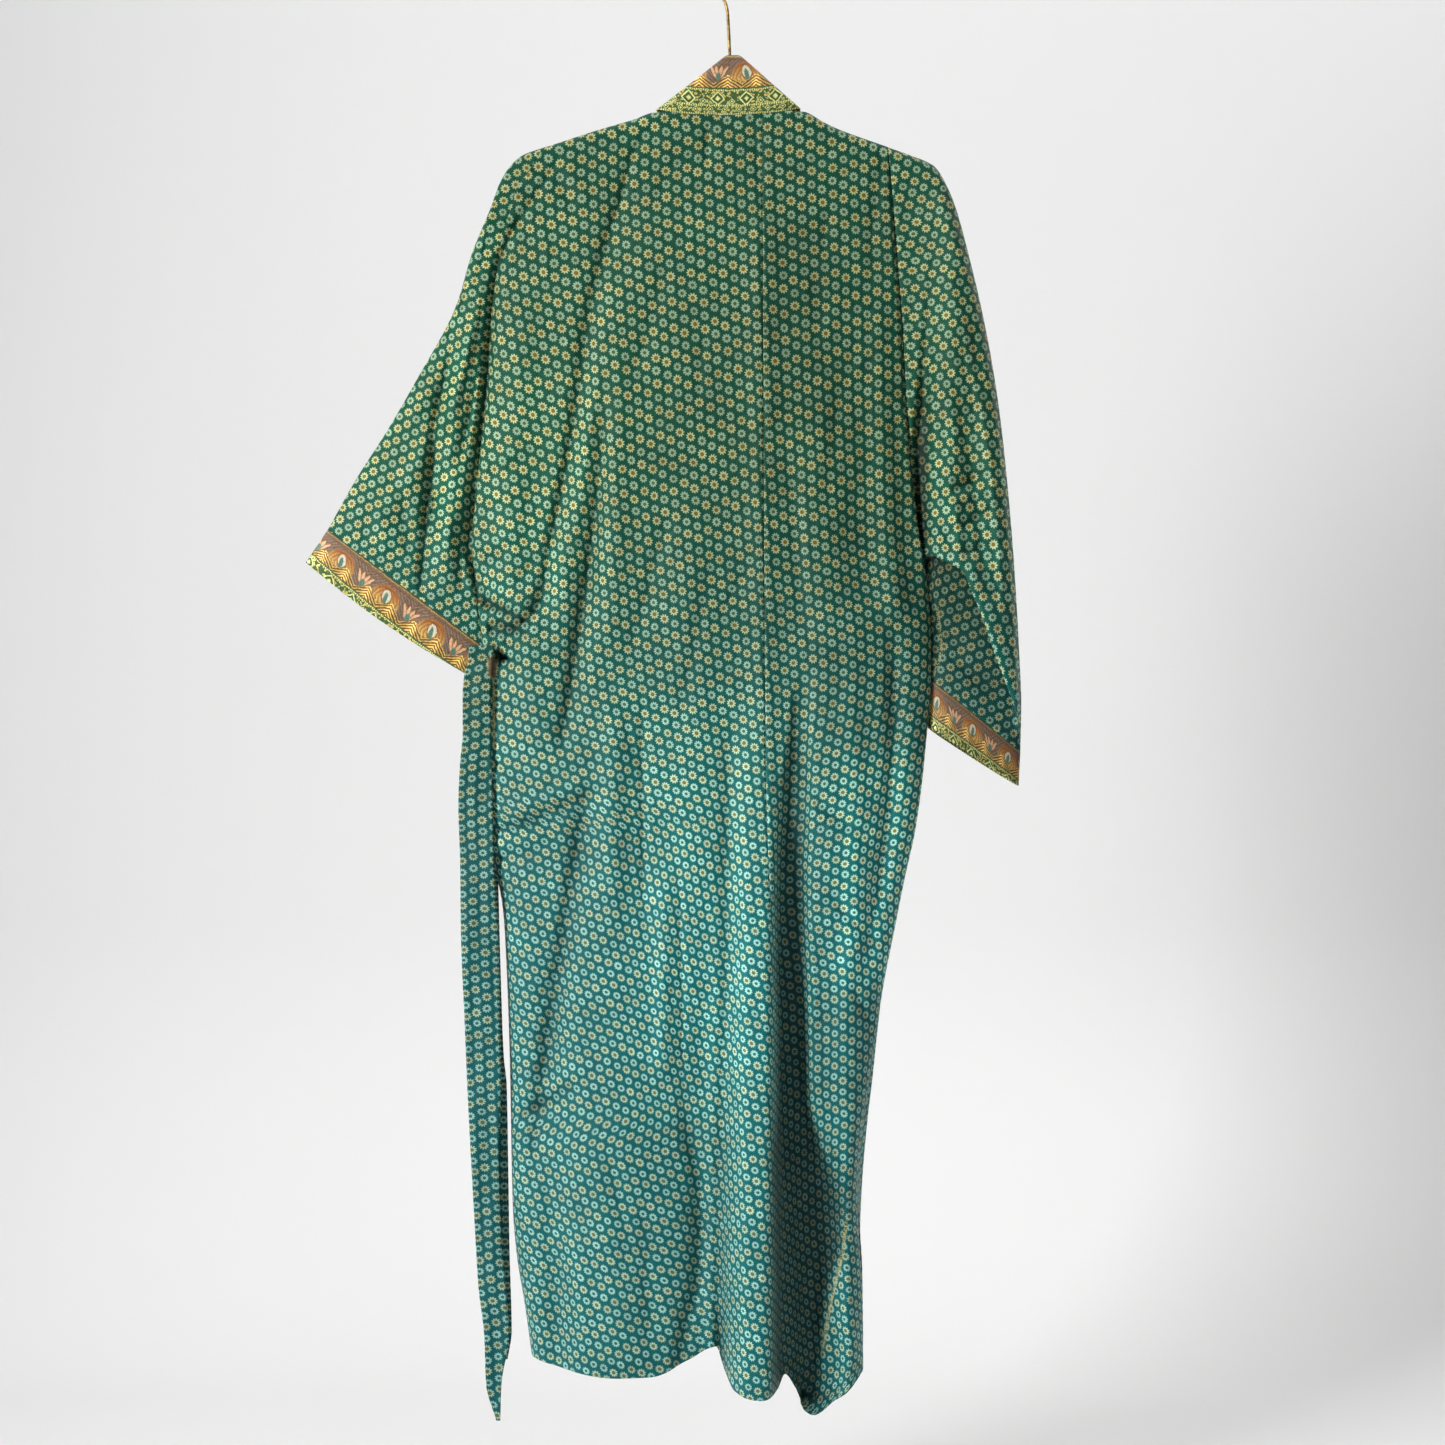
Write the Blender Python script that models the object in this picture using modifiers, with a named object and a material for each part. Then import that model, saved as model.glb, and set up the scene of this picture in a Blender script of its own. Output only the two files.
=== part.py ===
"""A long silk kimono robe hung by its shoulders on a plain wooden hanger.

Sizes are in millimetres. x runs across the robe from the hook, y is depth with the
back of the robe at negative y, and drop is the distance below the inside of the hook.
Each piece of cloth is a wall lofted through points that are worked out from the tables
of edges, depths and folds below.
"""

from collections import namedtuple
import math

import bmesh
import bpy
import numpy as np

MM = 0.001
WALL = 1.5
SEAM = 0.3
SIDE_SEAM = 0.42

ARCH_RADIUS = 9.0
NECK_LEFT = -74.0
NECK_RIGHT = 73.0
NECK_TURN = 16.0
HEM_LEVEL = 1400.0
CLOTH_LENGTH = 1210.0
TOP_LEVEL = 193.0
UNDERARM = 440.0
ARMHOLE_DEPTH = 11.0

EDGE_BLEND = 0.25
TOP_FADE = 0.3
HEM_FADE = 0.25
SIDE_ROUND = 0.32
SIDE_POWER = 2.4
SOFT_SIDE = 0.30
FOLD_MARGIN = 0.09
FOLD_TOP_FADE = 60.0
FOLD_START_FADE = 0.2
FOLD_END_FADE = 0.12

BAND_WIDTH = 60.0
BAND_STANDS_OUT = 1.0
BAND_LEAN = -2.0
CUFF_WIDTH = 39.0
LOW_CUFF_GAP = 0.6
BELT_BEND = 2.7
BELT_STEPS = 22
BELT_BEND_STEPS = 6
BELT_COLUMNS = 3
LOOP_WIRE = 1.2
LOOP_HEIGHT = 12.0
LOOP_SHARE = 0.016
LOOP_GAP = 0.45
LOOP_LEAD = 5.0
HOOK_WIRE = 1.5
HOOK_RADIUS = 19.0
HOOK_FOOT = 137.9
HOOK_START = 222.0
HOOK_SWEEP = 244.0
HOOK_STEPS = 14
HANGER_LEFT_TIP = -208.0
HANGER_RIGHT_TIP = 190.0
HANGER_HALF_DEPTH = 6.0
HANGER_HEIGHT = 16.0
HANGER_GAP = 0.6
HANGER_TAPER = 22.0
HANGER_TIP_SHARE = 0.35
HANGER_TIP_SINK = 6.0
HANGER_PEAK = 26.0
HANGER_PEAK_HALF = 62.0
HANGER_PEAK_SLOPE = 55.0
HANGER_PEAK_HEIGHT = 6.0
HANGER_RINGS = 22
HANGER_SIDES = 12
NECK_DIP = 1.5
NECK_DIP_WIDTH = 14.0

Edge = namedtuple("Edge", "drop x")
LEFT_EDGE = [
    Edge(TOP_LEVEL, -181), Edge(223, -198), Edge(242, -211), Edge(262, -218), Edge(305, -229),
    Edge(369, -238), Edge(431, -241), Edge(560, -255), Edge(594, -257), Edge(632, -251),
    Edge(665, -241), Edge(695, -234), Edge(745, -231), Edge(845, -230), Edge(900, -228),
    Edge(975, -223), Edge(1100, -219), Edge(1250, -216), Edge(1300, -212), Edge(1350, -204),
    Edge(HEM_LEVEL, -197),
]
RIGHT_EDGE = [
    Edge(TOP_LEVEL, 157), Edge(243, 162), Edge(308, 166), Edge(369, 172), Edge(451, 176),
    Edge(560, 187), Edge(600, 193), Edge(632, 198), Edge(690, 202), Edge(735, 202), Edge(775, 198),
    Edge(825, 193), Edge(875, 186), Edge(925, 175), Edge(975, 165), Edge(1025, 155),
    Edge(1075, 147), Edge(1125, 140), Edge(1175, 132), Edge(1225, 128), Edge(1275, 130),
    Edge(1325, 133), Edge(HEM_LEVEL, 134),
]
LEFT_GRAIN = [Edge(TOP_LEVEL, -190), Edge(620, -240), Edge(HEM_LEVEL, -200)]
RIGHT_GRAIN = [Edge(TOP_LEVEL, 158), Edge(660, 190), Edge(HEM_LEVEL, 134)]
LEFT_SEAM = [Edge(158, -74), Edge(300, -76), Edge(HEM_LEVEL, -80)]
RIGHT_SEAM = [Edge(157, 73), Edge(300, 75), Edge(HEM_LEVEL, 79)]
CENTRE_BACK = [Edge(TOP_LEVEL, 33), Edge(800, 36), Edge(1100, 46), Edge(HEM_LEVEL, 50)]

Level = namedtuple("Level", "x drop")
RIDGE = [
    Level(-181, 192), Level(-129, 175), Level(-95, 165), Level(-74, 158), Level(-40, 161),
    Level(0, 162), Level(40, 160), Level(73, 157), Level(95, 168), Level(110, 175),
    Level(157, 192),
]
BACK_HEM = [
    Level(-198, 1397), Level(-167, 1404), Level(-107, 1410), Level(-78, 1410),
    Level(-38, 1395), Level(-13, 1383), Level(-5, 1404), Level(6, 1421), Level(32, 1427),
    Level(48, 1423), Level(55, 1412), Level(66, 1428), Level(75, 1449), Level(84, 1454),
    Level(104, 1442), Level(134, 1412),
]
FRONT_HEM_DROP = 1386.0

Depth = namedtuple("Depth", "drop back front")
BODY_DEPTHS = [
    Depth(160, 9, 9), Depth(300, 15, 13), Depth(450, 22, 18), Depth(600, 28, 22),
    Depth(800, 34, 26), Depth(1100, 38, 30), Depth(1450, 44, 34),
]

Fold = namedtuple("Fold", "start end x_start x_middle x_end left right rise_start rise_end power")
BACK_FOLDS = [
    Fold(165, 670, -88, -136, -154, 13, 24, -3, -7, 2),
    Fold(300, 690, -210, -226, -232, 16, 26, 3, 13, 2),
    Fold(300, 720, -112, -114, -116, 14, 14, 2, 4, 2),
    Fold(165, 860, 33, 33, 34, 13, 15, 2, 4, 2),
    Fold(300, 680, 150, 158, 170, 18, 14, 3, 9, 2),
    Fold(630, 800, -205, -200, -185, 16, 22, 6, 4, 2),
    Fold(780, 1500, 30, 26, 24, 26, 22, 2, 24, 4),
    Fold(900, 1500, -24, -26, -26, 20, 12, -3, -12, 2),
    Fold(980, 1500, 82, 88, 92, 26, 28, -4, -22, 4),
    Fold(1200, 1500, 118, 118, 120, 10, 12, 3, 12, 2),
    Fold(900, 1500, -110, -112, -118, 50, 45, 3, 12, 2),
    Fold(850, 1500, -180, -176, -170, 14, 18, -2, -8, 2),
    Fold(400, 1000, 95, 100, 104, 22, 22, 4, 5, 2),
    Fold(500, 1100, -40, -36, -34, 24, 24, 3, 4, 2),
]
LEFT_FRONT_FOLDS = [
    Fold(260, 1500, -150, -156, -162, 18, 22, 3, 12, 2),
    Fold(420, 1500, -195, -196, -192, 14, 14, -3, -9, 2),
    Fold(700, 1500, -112, -112, -114, 16, 14, -2, -8, 2),
]
RIGHT_FRONT_FOLDS = [
    Fold(260, 1500, 140, 128, 104, 20, 18, 3, 11, 2),
    Fold(480, 1200, 168, 164, 136, 14, 12, -3, -7, 2),
]

SLEEVE_TOP_LEFT = [
    Level(-181, 192.5), Level(-204, 200), Level(-216, 210), Level(-226, 225),
    Level(-236, 250), Level(-247, 275), Level(-257, 300), Level(-272, 350),
    Level(-312, 425), Level(-341, 475), Level(-373, 525), Level(-401, 575),
]
SLEEVE_TOP_RIGHT = [
    Level(157, 192.5), Level(179, 200), Level(204, 211), Level(214, 225), Level(225, 250),
    Level(239, 300), Level(251, 350), Level(261, 400), Level(269, 450), Level(275, 500),
    Level(284, 600), Level(290, 700), Level(292, 750), Level(291, 792),
]
SLEEVE_BOTTOM_LEFT = [Level(-253, 634), Level(-250, 658), Level(-242, 694)]
SLEEVE_BOTTOM_RIGHT = [Level(198.5, 634), Level(204.2, 665), Level(205, 700), Level(205, 734)]
HOOK_STEM = [
    Level(1, HOOK_FOOT), Level(1, 104), Level(0, 80), Level(-1.5, 55), Level(-3.5, 47),
    Level(-7.5, 41.5),
]
CUFF_RUN_LEFT = Level(-0.56, 0.83)
CUFF_RUN_RIGHT = Level(-0.05, 1.0)
CUFF_DEPTHS = {"left": (9.0, 9.0), "right": (13.0, 42.0)}

SleeveFold = namedtuple("SleeveFold", "run_start run_end turn_start turn_end width rise")
SLEEVE_FOLDS = {
    "left": [
        SleeveFold(0.05, 0.95, 0.30, 0.22, 0.05, 5), SleeveFold(0.10, 0.90, 0.46, 0.40, 0.05, -4),
        SleeveFold(0.05, 0.80, 0.62, 0.58, 0.06, 5), SleeveFold(0.00, 0.60, 0.86, 0.80, 0.05, -5),
    ],
    "right": [
        SleeveFold(0.05, 0.90, 0.22, 0.18, 0.05, 4), SleeveFold(0.05, 0.80, 0.42, 0.36, 0.06, -5),
        SleeveFold(0.05, 0.60, 0.64, 0.60, 0.06, 5),
    ],
}
OVERHANG_LINE = [
    Level(150, 575), Level(196, 606), Level(231, 626), Level(253, 668), Level(271, 712),
    Level(293, 775),
]
OVERHANG_RISE = 17.0
OVERHANG_SOFTNESS = 50.0

BeltRow = namedtuple("BeltRow", "drop left right y")
BELT_NEAR = [
    BeltRow(694, -264, -236, -22), BeltRow(775, -266, -233, -19), BeltRow(875, -268, -232, -17),
    BeltRow(975, -266, -229, -16), BeltRow(1075, -262, -227, -16), BeltRow(1125, -260, -226, -16),
    BeltRow(1200, -256, -228, -16), BeltRow(1275, -252, -226, -16), BeltRow(1325, -249, -222, -16),
    BeltRow(1375, -243, -218, -16), BeltRow(1425, -241, -226, -16), BeltRow(1460, -231, -227, -16),
]
BELT_FAR = [
    BeltRow(694, -262, -236, -22), BeltRow(775, -260, -233, -12), BeltRow(875, -258, -232, -10),
    BeltRow(975, -254, -229, -9), BeltRow(1100, -250, -225, -8), BeltRow(1130, -248, -222, -8),
    BeltRow(1300, -246, -219, -8), BeltRow(1375, -240, -217, -8), BeltRow(1403, -226, -221, -8),
]

BandTurn = namedtuple("BandTurn", "seam_x seam_y seam_drop edge_x edge_y edge_drop")
LEFT_BAND_TURN = [
    BandTurn(-72.5, 9, 172, -11, 8.5, 150), BandTurn(-72, 6, 158, -8, 7, 118),
    BandTurn(-72.5, 0, 155, -5, 3, 103), BandTurn(-70, -6, 156, -4, -3.5, 102.5),
]
RIGHT_BAND_TURN = [
    BandTurn(69, -6, 155, 12, -3.5, 102.5), BandTurn(71.5, 0, 154, 13, 3, 103),
    BandTurn(71, 6, 157, 13, 7, 118), BandTurn(71.5, 9, 171, 13, 8.5, 150),
]
BAND_BACK_STEPS = 8
BAND_BACK_START = BandTurn(-62, -ARCH_RADIUS, 160, -2, -4.5, 101.5)
BAND_BACK_END = BandTurn(61, -ARCH_RADIUS, 160, 10, -4.5, 101.5)

BACK_EDGE_SHARES = [0.0, 0.004, 0.016, 0.040]
FRONT_EDGE_SHARES = [0.0, 0.008, 0.03, 0.075]
TOP_STEPS = [0.0, 4.0, 8.5, 14.0, 24.0, 44.0]
ARMHOLE_STEP = 44.0
UNDERARM_STEPS = [420.0, 433.0, UNDERARM]
LOWER_ROWS = 19
BACK_COLUMNS = {"left": 17, "right": 10}
FRONT_COLUMNS = 9
SLEEVE_RINGS = {"left": 13, "right": 18}
SLEEVE_LAP = WALL + SEAM + 0.1
LAP_DEEPENS = 2.6
LAP_START = 0.6
LAP_STEP_OUT = 2.8
LAP_TUCK = 4.6
LEAST_DEPTH = 1.4
SLEEVE_SPREAD = 1.25
BAND_ROWS = 24
BAND_COLUMNS = 3
BAND_ROW_SPREAD = 0.8
BAND_FRONT_TOP = 200.0


def smooth_curve(knots, values):
    """Give a function that runs smoothly through the values and never past them."""
    knots = np.array(knots, dtype=float)
    values = np.array(values, dtype=float)
    steps = np.diff(knots)
    rises = np.diff(values) / steps
    slopes = np.zeros_like(values)
    slopes[0] = rises[0]
    slopes[-1] = rises[-1]
    for index in range(1, len(values) - 1):
        before = rises[index - 1]
        after = rises[index]
        if before * after > 0.0:
            slopes[index] = 2.0 * before * after / (before + after)

    def value_at(place):
        place = min(max(place, knots[0]), knots[-1])
        index = int(np.clip(np.searchsorted(knots, place) - 1, 0, len(steps) - 1))
        step = steps[index]
        t = (place - knots[index]) / step
        from_start = (1.0 + 2.0 * t) * (1.0 - t) ** 2
        from_end = t * t * (3.0 - 2.0 * t)
        lean_start = t * (1.0 - t) ** 2
        lean_end = t * t * (t - 1.0)
        return float(
            from_start * values[index] + from_end * values[index + 1]
            + step * (lean_start * slopes[index] + lean_end * slopes[index + 1])
        )

    return value_at


def column_curve(table, knot, column):
    """Give the smooth curve of one named column of a table over another."""
    return smooth_curve([getattr(row, knot) for row in table],
                        [getattr(row, column) for row in table])


def ease(share):
    """Ease a share from 0 to 1, held at both ends."""
    share = min(max(share, 0.0), 1.0)
    return share * share * (3.0 - 2.0 * share)


def path_point(path, share):
    """Find the place at a share of a path's length, as x and drop."""
    places = np.array([[level.x, level.drop] for level in path], dtype=float)
    lengths = np.concatenate([[0.0], np.cumsum(np.hypot(*np.diff(places, axis=0).T))])
    along = share * lengths[-1]
    x = smooth_curve(lengths, places[:, 0])(along)
    drop = smooth_curve(lengths, places[:, 1])(along)
    return np.array([x, drop])


left_edge_x = column_curve(LEFT_EDGE, "drop", "x")
right_edge_x = column_curve(RIGHT_EDGE, "drop", "x")
left_grain_x = column_curve(LEFT_GRAIN, "drop", "x")
right_grain_x = column_curve(RIGHT_GRAIN, "drop", "x")
left_seam_x = column_curve(LEFT_SEAM, "drop", "x")
right_seam_x = column_curve(RIGHT_SEAM, "drop", "x")
centre_back_x = column_curve(CENTRE_BACK, "drop", "x")
ridge_drop = column_curve(RIDGE, "x", "drop")
back_hem_drop = column_curve(BACK_HEM, "x", "drop")
back_depth = column_curve(BODY_DEPTHS, "drop", "back")
front_depth = column_curve(BODY_DEPTHS, "drop", "front")
overhang_drop = column_curve(OVERHANG_LINE, "x", "drop")
left_sleeve_top = column_curve(SLEEVE_TOP_LEFT[::-1], "x", "drop")
right_sleeve_top = column_curve(SLEEVE_TOP_RIGHT[:-1], "x", "drop")


def fold_rise(folds, x, drop):
    """Add up how far the folds stand out of the cloth at a place."""
    total = 0.0
    for fold in folds:
        share = (drop - fold.start) / (fold.end - fold.start)
        if share <= 0.0 or share >= 1.0:
            continue
        centre = (
            fold.x_start * (1.0 - share) * (1.0 - 2.0 * share)
            + 4.0 * fold.x_middle * share * (1.0 - share)
            + fold.x_end * share * (2.0 * share - 1.0)
        )
        flank = fold.left if x < centre else fold.right
        profile = math.exp(-(abs(x - centre) / flank) ** fold.power)
        fade = ease(share / FOLD_START_FADE) * ease((1.0 - share) / FOLD_END_FADE)
        total += profile * fade * (fold.rise_start + (fold.rise_end - fold.rise_start) * share)
    return total


def arch_start(x):
    """Give the angle at which the cloth leaves the top line: 0 over the arms, upright at the neck."""
    inside = min(x - NECK_LEFT, NECK_RIGHT - x) / NECK_TURN
    return 0.5 * math.pi * ease(inside)


def armhole_depth(along):
    """Give the depth of the armhole's edge at a distance down the cloth."""
    if along >= UNDERARM:
        return 0.0
    return ARMHOLE_DEPTH * math.sqrt(1.0 - (along / UNDERARM) ** 4)


def panel_point(share, along, sides, grains, hem_drop, middle_depth, folds):
    """Place one point of a body panel.

    share runs across the panel and along is the distance down the cloth. sides holds the
    curves of the panel's two edges, and grains the calmer lines that its threads follow,
    or None where an edge is the straight one at the front opening.
    """
    down = along / CLOTH_LENGTH
    level = TOP_LEVEL + (HEM_LEVEL - TOP_LEVEL) * down
    lines = [grain or side for side, grain in zip(sides, grains)]
    x = lines[0](level) + (lines[1](level) - lines[0](level)) * share
    for side, line, distance in zip(sides, lines, (share, 1.0 - share)):
        x += (side(level) - line(level)) * max(0.0, 1.0 - distance / EDGE_BLEND) ** 2
    start_angle = arch_start(x)
    arch_length = ARCH_RADIUS * (0.5 * math.pi - start_angle)
    bent = min(along, arch_length)
    angle = start_angle + bent / ARCH_RADIUS
    lost = bent - ARCH_RADIUS * (math.cos(start_angle) - math.cos(angle))
    top_fade = 1.0 - ease(down / TOP_FADE)
    low_fade = ease((down - 1.0 + HEM_FADE) / HEM_FADE)
    drop = (
        level + (ridge_drop(x) - TOP_LEVEL) * top_fade + (hem_drop(x) - HEM_LEVEL) * low_fade
        - lost * top_fade
    )
    centre = middle_depth(drop)
    depth = centre
    mask = 1.0
    for distance, grain in zip((share, 1.0 - share), grains):
        if grain is None:
            continue
        closed = ease((along - UNDERARM + 50.0) / 90.0)
        inward = max(0.0, 1.0 - distance / SIDE_ROUND)
        round_side = (1.0 - inward ** SIDE_POWER) ** (1.0 / SIDE_POWER)
        soft_side = ease(distance / SOFT_SIDE)
        side = round_side * closed + soft_side * (1.0 - closed)
        edge = SIDE_SEAM + armhole_depth(along)
        depth = min(depth, edge + (centre - edge) * side)
        mask *= ease(distance / FOLD_MARGIN)
    depth += fold_rise(folds, x, drop) * mask * ease(along / FOLD_TOP_FADE)
    depth *= math.sin(angle)
    return x, depth, drop


def back_point(share, along):
    """Place a point of the back: share runs from the left edge to the right one."""
    x, depth, drop = panel_point(share, along, (left_edge_x, right_edge_x),
                                 (left_grain_x, right_grain_x), back_hem_drop, back_depth,
                                 BACK_FOLDS)
    return np.array([x, -depth, drop])


def centre_share(along):
    """Find the share across the back at which its centre seam runs, at a distance down the cloth."""
    level = TOP_LEVEL + (HEM_LEVEL - TOP_LEVEL) * along / CLOTH_LENGTH
    left = left_grain_x(level)
    return (centre_back_x(level) - left) / (right_grain_x(level) - left)


def back_half_grid(from_left):
    """Lay the points of one half of the back, from its side seam to the centre seam."""
    columns = BACK_COLUMNS["left" if from_left else "right"]
    rows = []
    for along in body_steps():
        width = centre_share(along) if from_left else 1.0 - centre_share(along)
        last = BACK_EDGE_SHARES[-1]
        inner = [last + (width - last) * (column + 1) / columns for column in range(columns)]
        shares = BACK_EDGE_SHARES + inner
        rows.append([back_point(share if from_left else 1.0 - share, along) for share in shares])
    return np.array(rows)


def level_hem(_x):
    """Keep the hidden front hem level."""
    return FRONT_HEM_DROP


def left_front_point(share, along):
    """Place a point of the left front: share runs from the side to the band."""
    x, depth, drop = panel_point(share, along, (left_edge_x, left_seam_x), (left_grain_x, None),
                                 level_hem, front_depth, LEFT_FRONT_FOLDS)
    return np.array([x, depth, drop])


def right_front_point(share, along):
    """Place a point of the right front: share runs from the side to the band."""
    x, depth, drop = panel_point(share, along, (right_edge_x, right_seam_x),
                                 (right_grain_x, None), level_hem, front_depth,
                                 RIGHT_FRONT_FOLDS)
    return np.array([x, depth, drop])


def body_steps():
    """List the distances down the cloth, close together where it turns over the arms."""
    spare = CLOTH_LENGTH - UNDERARM
    return armhole_steps() + [UNDERARM + spare * (row + 1) / LOWER_ROWS for row in range(LOWER_ROWS)]


def armhole_steps():
    """List the distances down to the underarm, which the sleeves share with the body."""
    even = np.arange(TOP_STEPS[-1] + ARMHOLE_STEP, UNDERARM_STEPS[0] - 1.0, ARMHOLE_STEP)
    return TOP_STEPS + [float(step) for step in even] + UNDERARM_STEPS


def front_shares():
    """List the shares across a front, close together at its side seam."""
    last = FRONT_EDGE_SHARES[-1]
    return FRONT_EDGE_SHARES + [last + (1.0 - last) * (column + 1) / FRONT_COLUMNS
                                for column in range(FRONT_COLUMNS)]


def trimmed(grid, rows=(0.0, 0.0), columns=(0.0, 0.0)):
    """Draw in a grid's first and last rows and columns by set distances, to leave a seam's gap."""
    grid = grid.copy()
    for axis, (first, last) in ((0, rows), (1, columns)):
        lines = np.swapaxes(grid, 0, axis)
        for edge, inner, gap in ((0, 1, first), (-1, -2, last)):
            if gap:
                run = lines[inner] - lines[edge]
                length = np.linalg.norm(run, axis=1, keepdims=True)
                lines[edge] += run / length * gap
    return grid


def panel_grid(point):
    """Lay a front's points in rows from its top line to its hem."""
    return np.array([[point(share, along) for share in front_shares()] for along in body_steps()])


def armhole_half(point):
    """Follow the armhole on one side of the robe from the ridge down to the underarm."""
    return [point(0.0, along) for along in armhole_steps()]


def round_ends(turn):
    """Give the lens shape of half a flat sleeve, round at both folds."""
    return math.sin(math.pi * turn) ** 0.45 if 0.0 < turn < 1.0 else 0.0


def sleeve_fold_rise(folds, run, turn):
    """Add up the sleeve's folds at a share of its run and of its half turn."""
    total = 0.0
    for fold in folds:
        share = (run - fold.run_start) / (fold.run_end - fold.run_start)
        if 0.0 < share < 1.0:
            centre = fold.turn_start + (fold.turn_end - fold.turn_start) * share
            fade = ease(share / 0.3) * ease((1.0 - share) / 0.3)
            total += fold.rise * fade * math.exp(-((turn - centre) / fold.width) ** 2)
    return total


def armhole_lap(turn):
    """Give how far a sleeve slips under the panel's edge: its shift outwards and its depth."""
    deeper = SLEEVE_LAP * ease((turn - 0.10) / 0.10) + LAP_DEEPENS * ease((turn - 0.45) / 0.30)
    leaving = ease((turn - 0.81) / 0.07)
    under = ease((turn - 0.20) / 0.12) * (1.0 - leaving)
    return LAP_START + LAP_STEP_OUT * leaving - LAP_TUCK * under, deeper


def sleeve_grid(side, top, bottom, halves):
    """Loft a sleeve from its armhole to its cuff seam as closed rings.

    halves holds the back and the front half of the armhole, each from the ridge down.
    """
    outward = -1.0 if side == "left" else 1.0
    turns = [along / UNDERARM for along in armhole_steps()]
    rings = []
    count = SLEEVE_RINGS[side]
    for ring_index in range(count + 1):
        run = (ring_index / count) ** SLEEVE_SPREAD
        top_place = path_point(top, run)
        bottom_place = path_point(bottom, run)
        blend = ease(run / 0.7)
        lines = []
        for half_index, half in enumerate(halves):
            facing = -1.0 if half_index == 0 else 1.0
            first = np.array([half[0][0], half[0][2]])
            last = np.array([half[-1][0], half[-1][2]])
            line = []
            for turn, hole in zip(turns, half):
                chord = first + (last - first) * turn
                bow = np.array([hole[0], hole[2]]) - chord
                shift, deeper = armhole_lap(turn)
                flat = top_place + (bottom_place - top_place) * turn + bow * (1.0 - run) ** 5
                flat[0] += outward * shift * (1.0 - run) ** (1 if shift > 0.0 else 7)
                at_fold = turn in (turns[0], turns[-1])
                depth = 0.0 if at_fold else max(LEAST_DEPTH, abs(hole[1]) - deeper) * (1.0 - blend)
                depth += CUFF_DEPTHS[side][half_index] * round_ends(turn) * blend
                rise = sleeve_fold_rise(SLEEVE_FOLDS[side], run, turn)
                if half_index == 0 and side == "right":
                    above = (overhang_drop(flat[0]) - flat[1]) / OVERHANG_SOFTNESS
                    rise += OVERHANG_RISE * ease(above) * ease((run - 0.1) / 0.45)
                depth += rise * ease(turn / 0.12) * ease((1.0 - turn) / 0.12)
                line.append([flat[0], facing * depth, flat[1]])
            lines.append(line)
        rings.append(lines[0] + lines[1][-2:0:-1])
    return np.array(rings)


def cuff_grid(sleeve, run_way):
    """Carry the sleeve's last ring on as the cuff, past the seam's gap."""
    last = sleeve[-1]
    way = np.array([run_way.x, 0.0, run_way.drop])
    way /= np.linalg.norm(way)
    turns = [along / UNDERARM for along in armhole_steps()]
    gaps = np.array([SEAM + LOW_CUFF_GAP * ease((turn - 0.85) / 0.1)
                     for turn in turns + turns[-2:0:-1]])
    first = last + way * gaps[:, None]
    edges = [last + way * (SEAM + CUFF_WIDTH * share) for share in (0.5, 1.0)]
    return np.array([first] + edges)


def front_band_rows(seam_x, way):
    """List the seam and the free edge of one front's band from the hem up."""
    rows = []
    length = FRONT_HEM_DROP - BAND_FRONT_TOP
    for step in range(BAND_ROWS + 1):
        drop = FRONT_HEM_DROP - length * (step / BAND_ROWS) ** BAND_ROW_SPREAD
        seam = np.array([seam_x(drop) + way * 0.5 * SEAM, front_depth(drop) + BAND_STANDS_OUT, drop])
        rows.append((seam, seam + np.array([way * BAND_WIDTH, BAND_LEAN, 0.0])))
    return rows


def turn_rows(table):
    """List the seam and the free edge of a stretch of the band from a table."""
    return [(np.array([row.seam_x, row.seam_y, row.seam_drop]),
             np.array([row.edge_x, row.edge_y, row.edge_drop])) for row in table]


def neckband_grid():
    """Run the band up the left front, round the back of the neck and down the right front."""
    back = []
    (first_seam, first_edge), (last_seam, last_edge) = turn_rows([BAND_BACK_START, BAND_BACK_END])
    for step in range(1, BAND_BACK_STEPS):
        share = step / BAND_BACK_STEPS
        seam = first_seam + (last_seam - first_seam) * share
        seam[2] = ridge_drop(seam[0]) - SEAM
        back.append((seam, first_edge + (last_edge - first_edge) * share))
    rows = (
        front_band_rows(left_seam_x, 1.0) + turn_rows(LEFT_BAND_TURN) + back
        + turn_rows(RIGHT_BAND_TURN) + front_band_rows(right_seam_x, -1.0)[::-1]
    )
    return np.array([
        [seam + (edge - seam) * column / BAND_COLUMNS for column in range(BAND_COLUMNS + 1)]
        for seam, edge in rows
    ])


def belt_strand(table, top, tip, side):
    """List a strand's edges, depth and drop from its bend down to its tip."""
    curves = [column_curve(table, "drop", name) for name in ("left", "right", "y")]
    rows = []
    for step in range(BELT_STEPS + 1):
        drop = top + (tip - top) * step / BELT_STEPS
        left, right, y = (curve(drop) for curve in curves)
        rows.append((left, right, y + side * BELT_BEND, drop))
    return rows


def belt_grid():
    """Run the belt from its near tip up over the loop and down to its far tip."""
    near, far = BELT_NEAR[0], BELT_FAR[0]
    bend = []
    for step in range(1, BELT_BEND_STEPS):
        share = step / BELT_BEND_STEPS
        angle = math.pi * share
        bend.append((near.left + (far.left - near.left) * share,
                     near.right + (far.right - near.right) * share,
                     near.y - BELT_BEND * math.cos(angle), near.drop - BELT_BEND * math.sin(angle)))
    rows = (
        belt_strand(BELT_NEAR, near.drop, BELT_NEAR[-1].drop, -1.0)[::-1] + bend
        + belt_strand(BELT_FAR, far.drop, BELT_FAR[-1].drop, 1.0)
    )
    return np.array([
        [[left + (right - left) * column / BELT_COLUMNS, y, drop]
         for column in range(BELT_COLUMNS + 1)]
        for left, right, y, drop in rows
    ])


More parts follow.
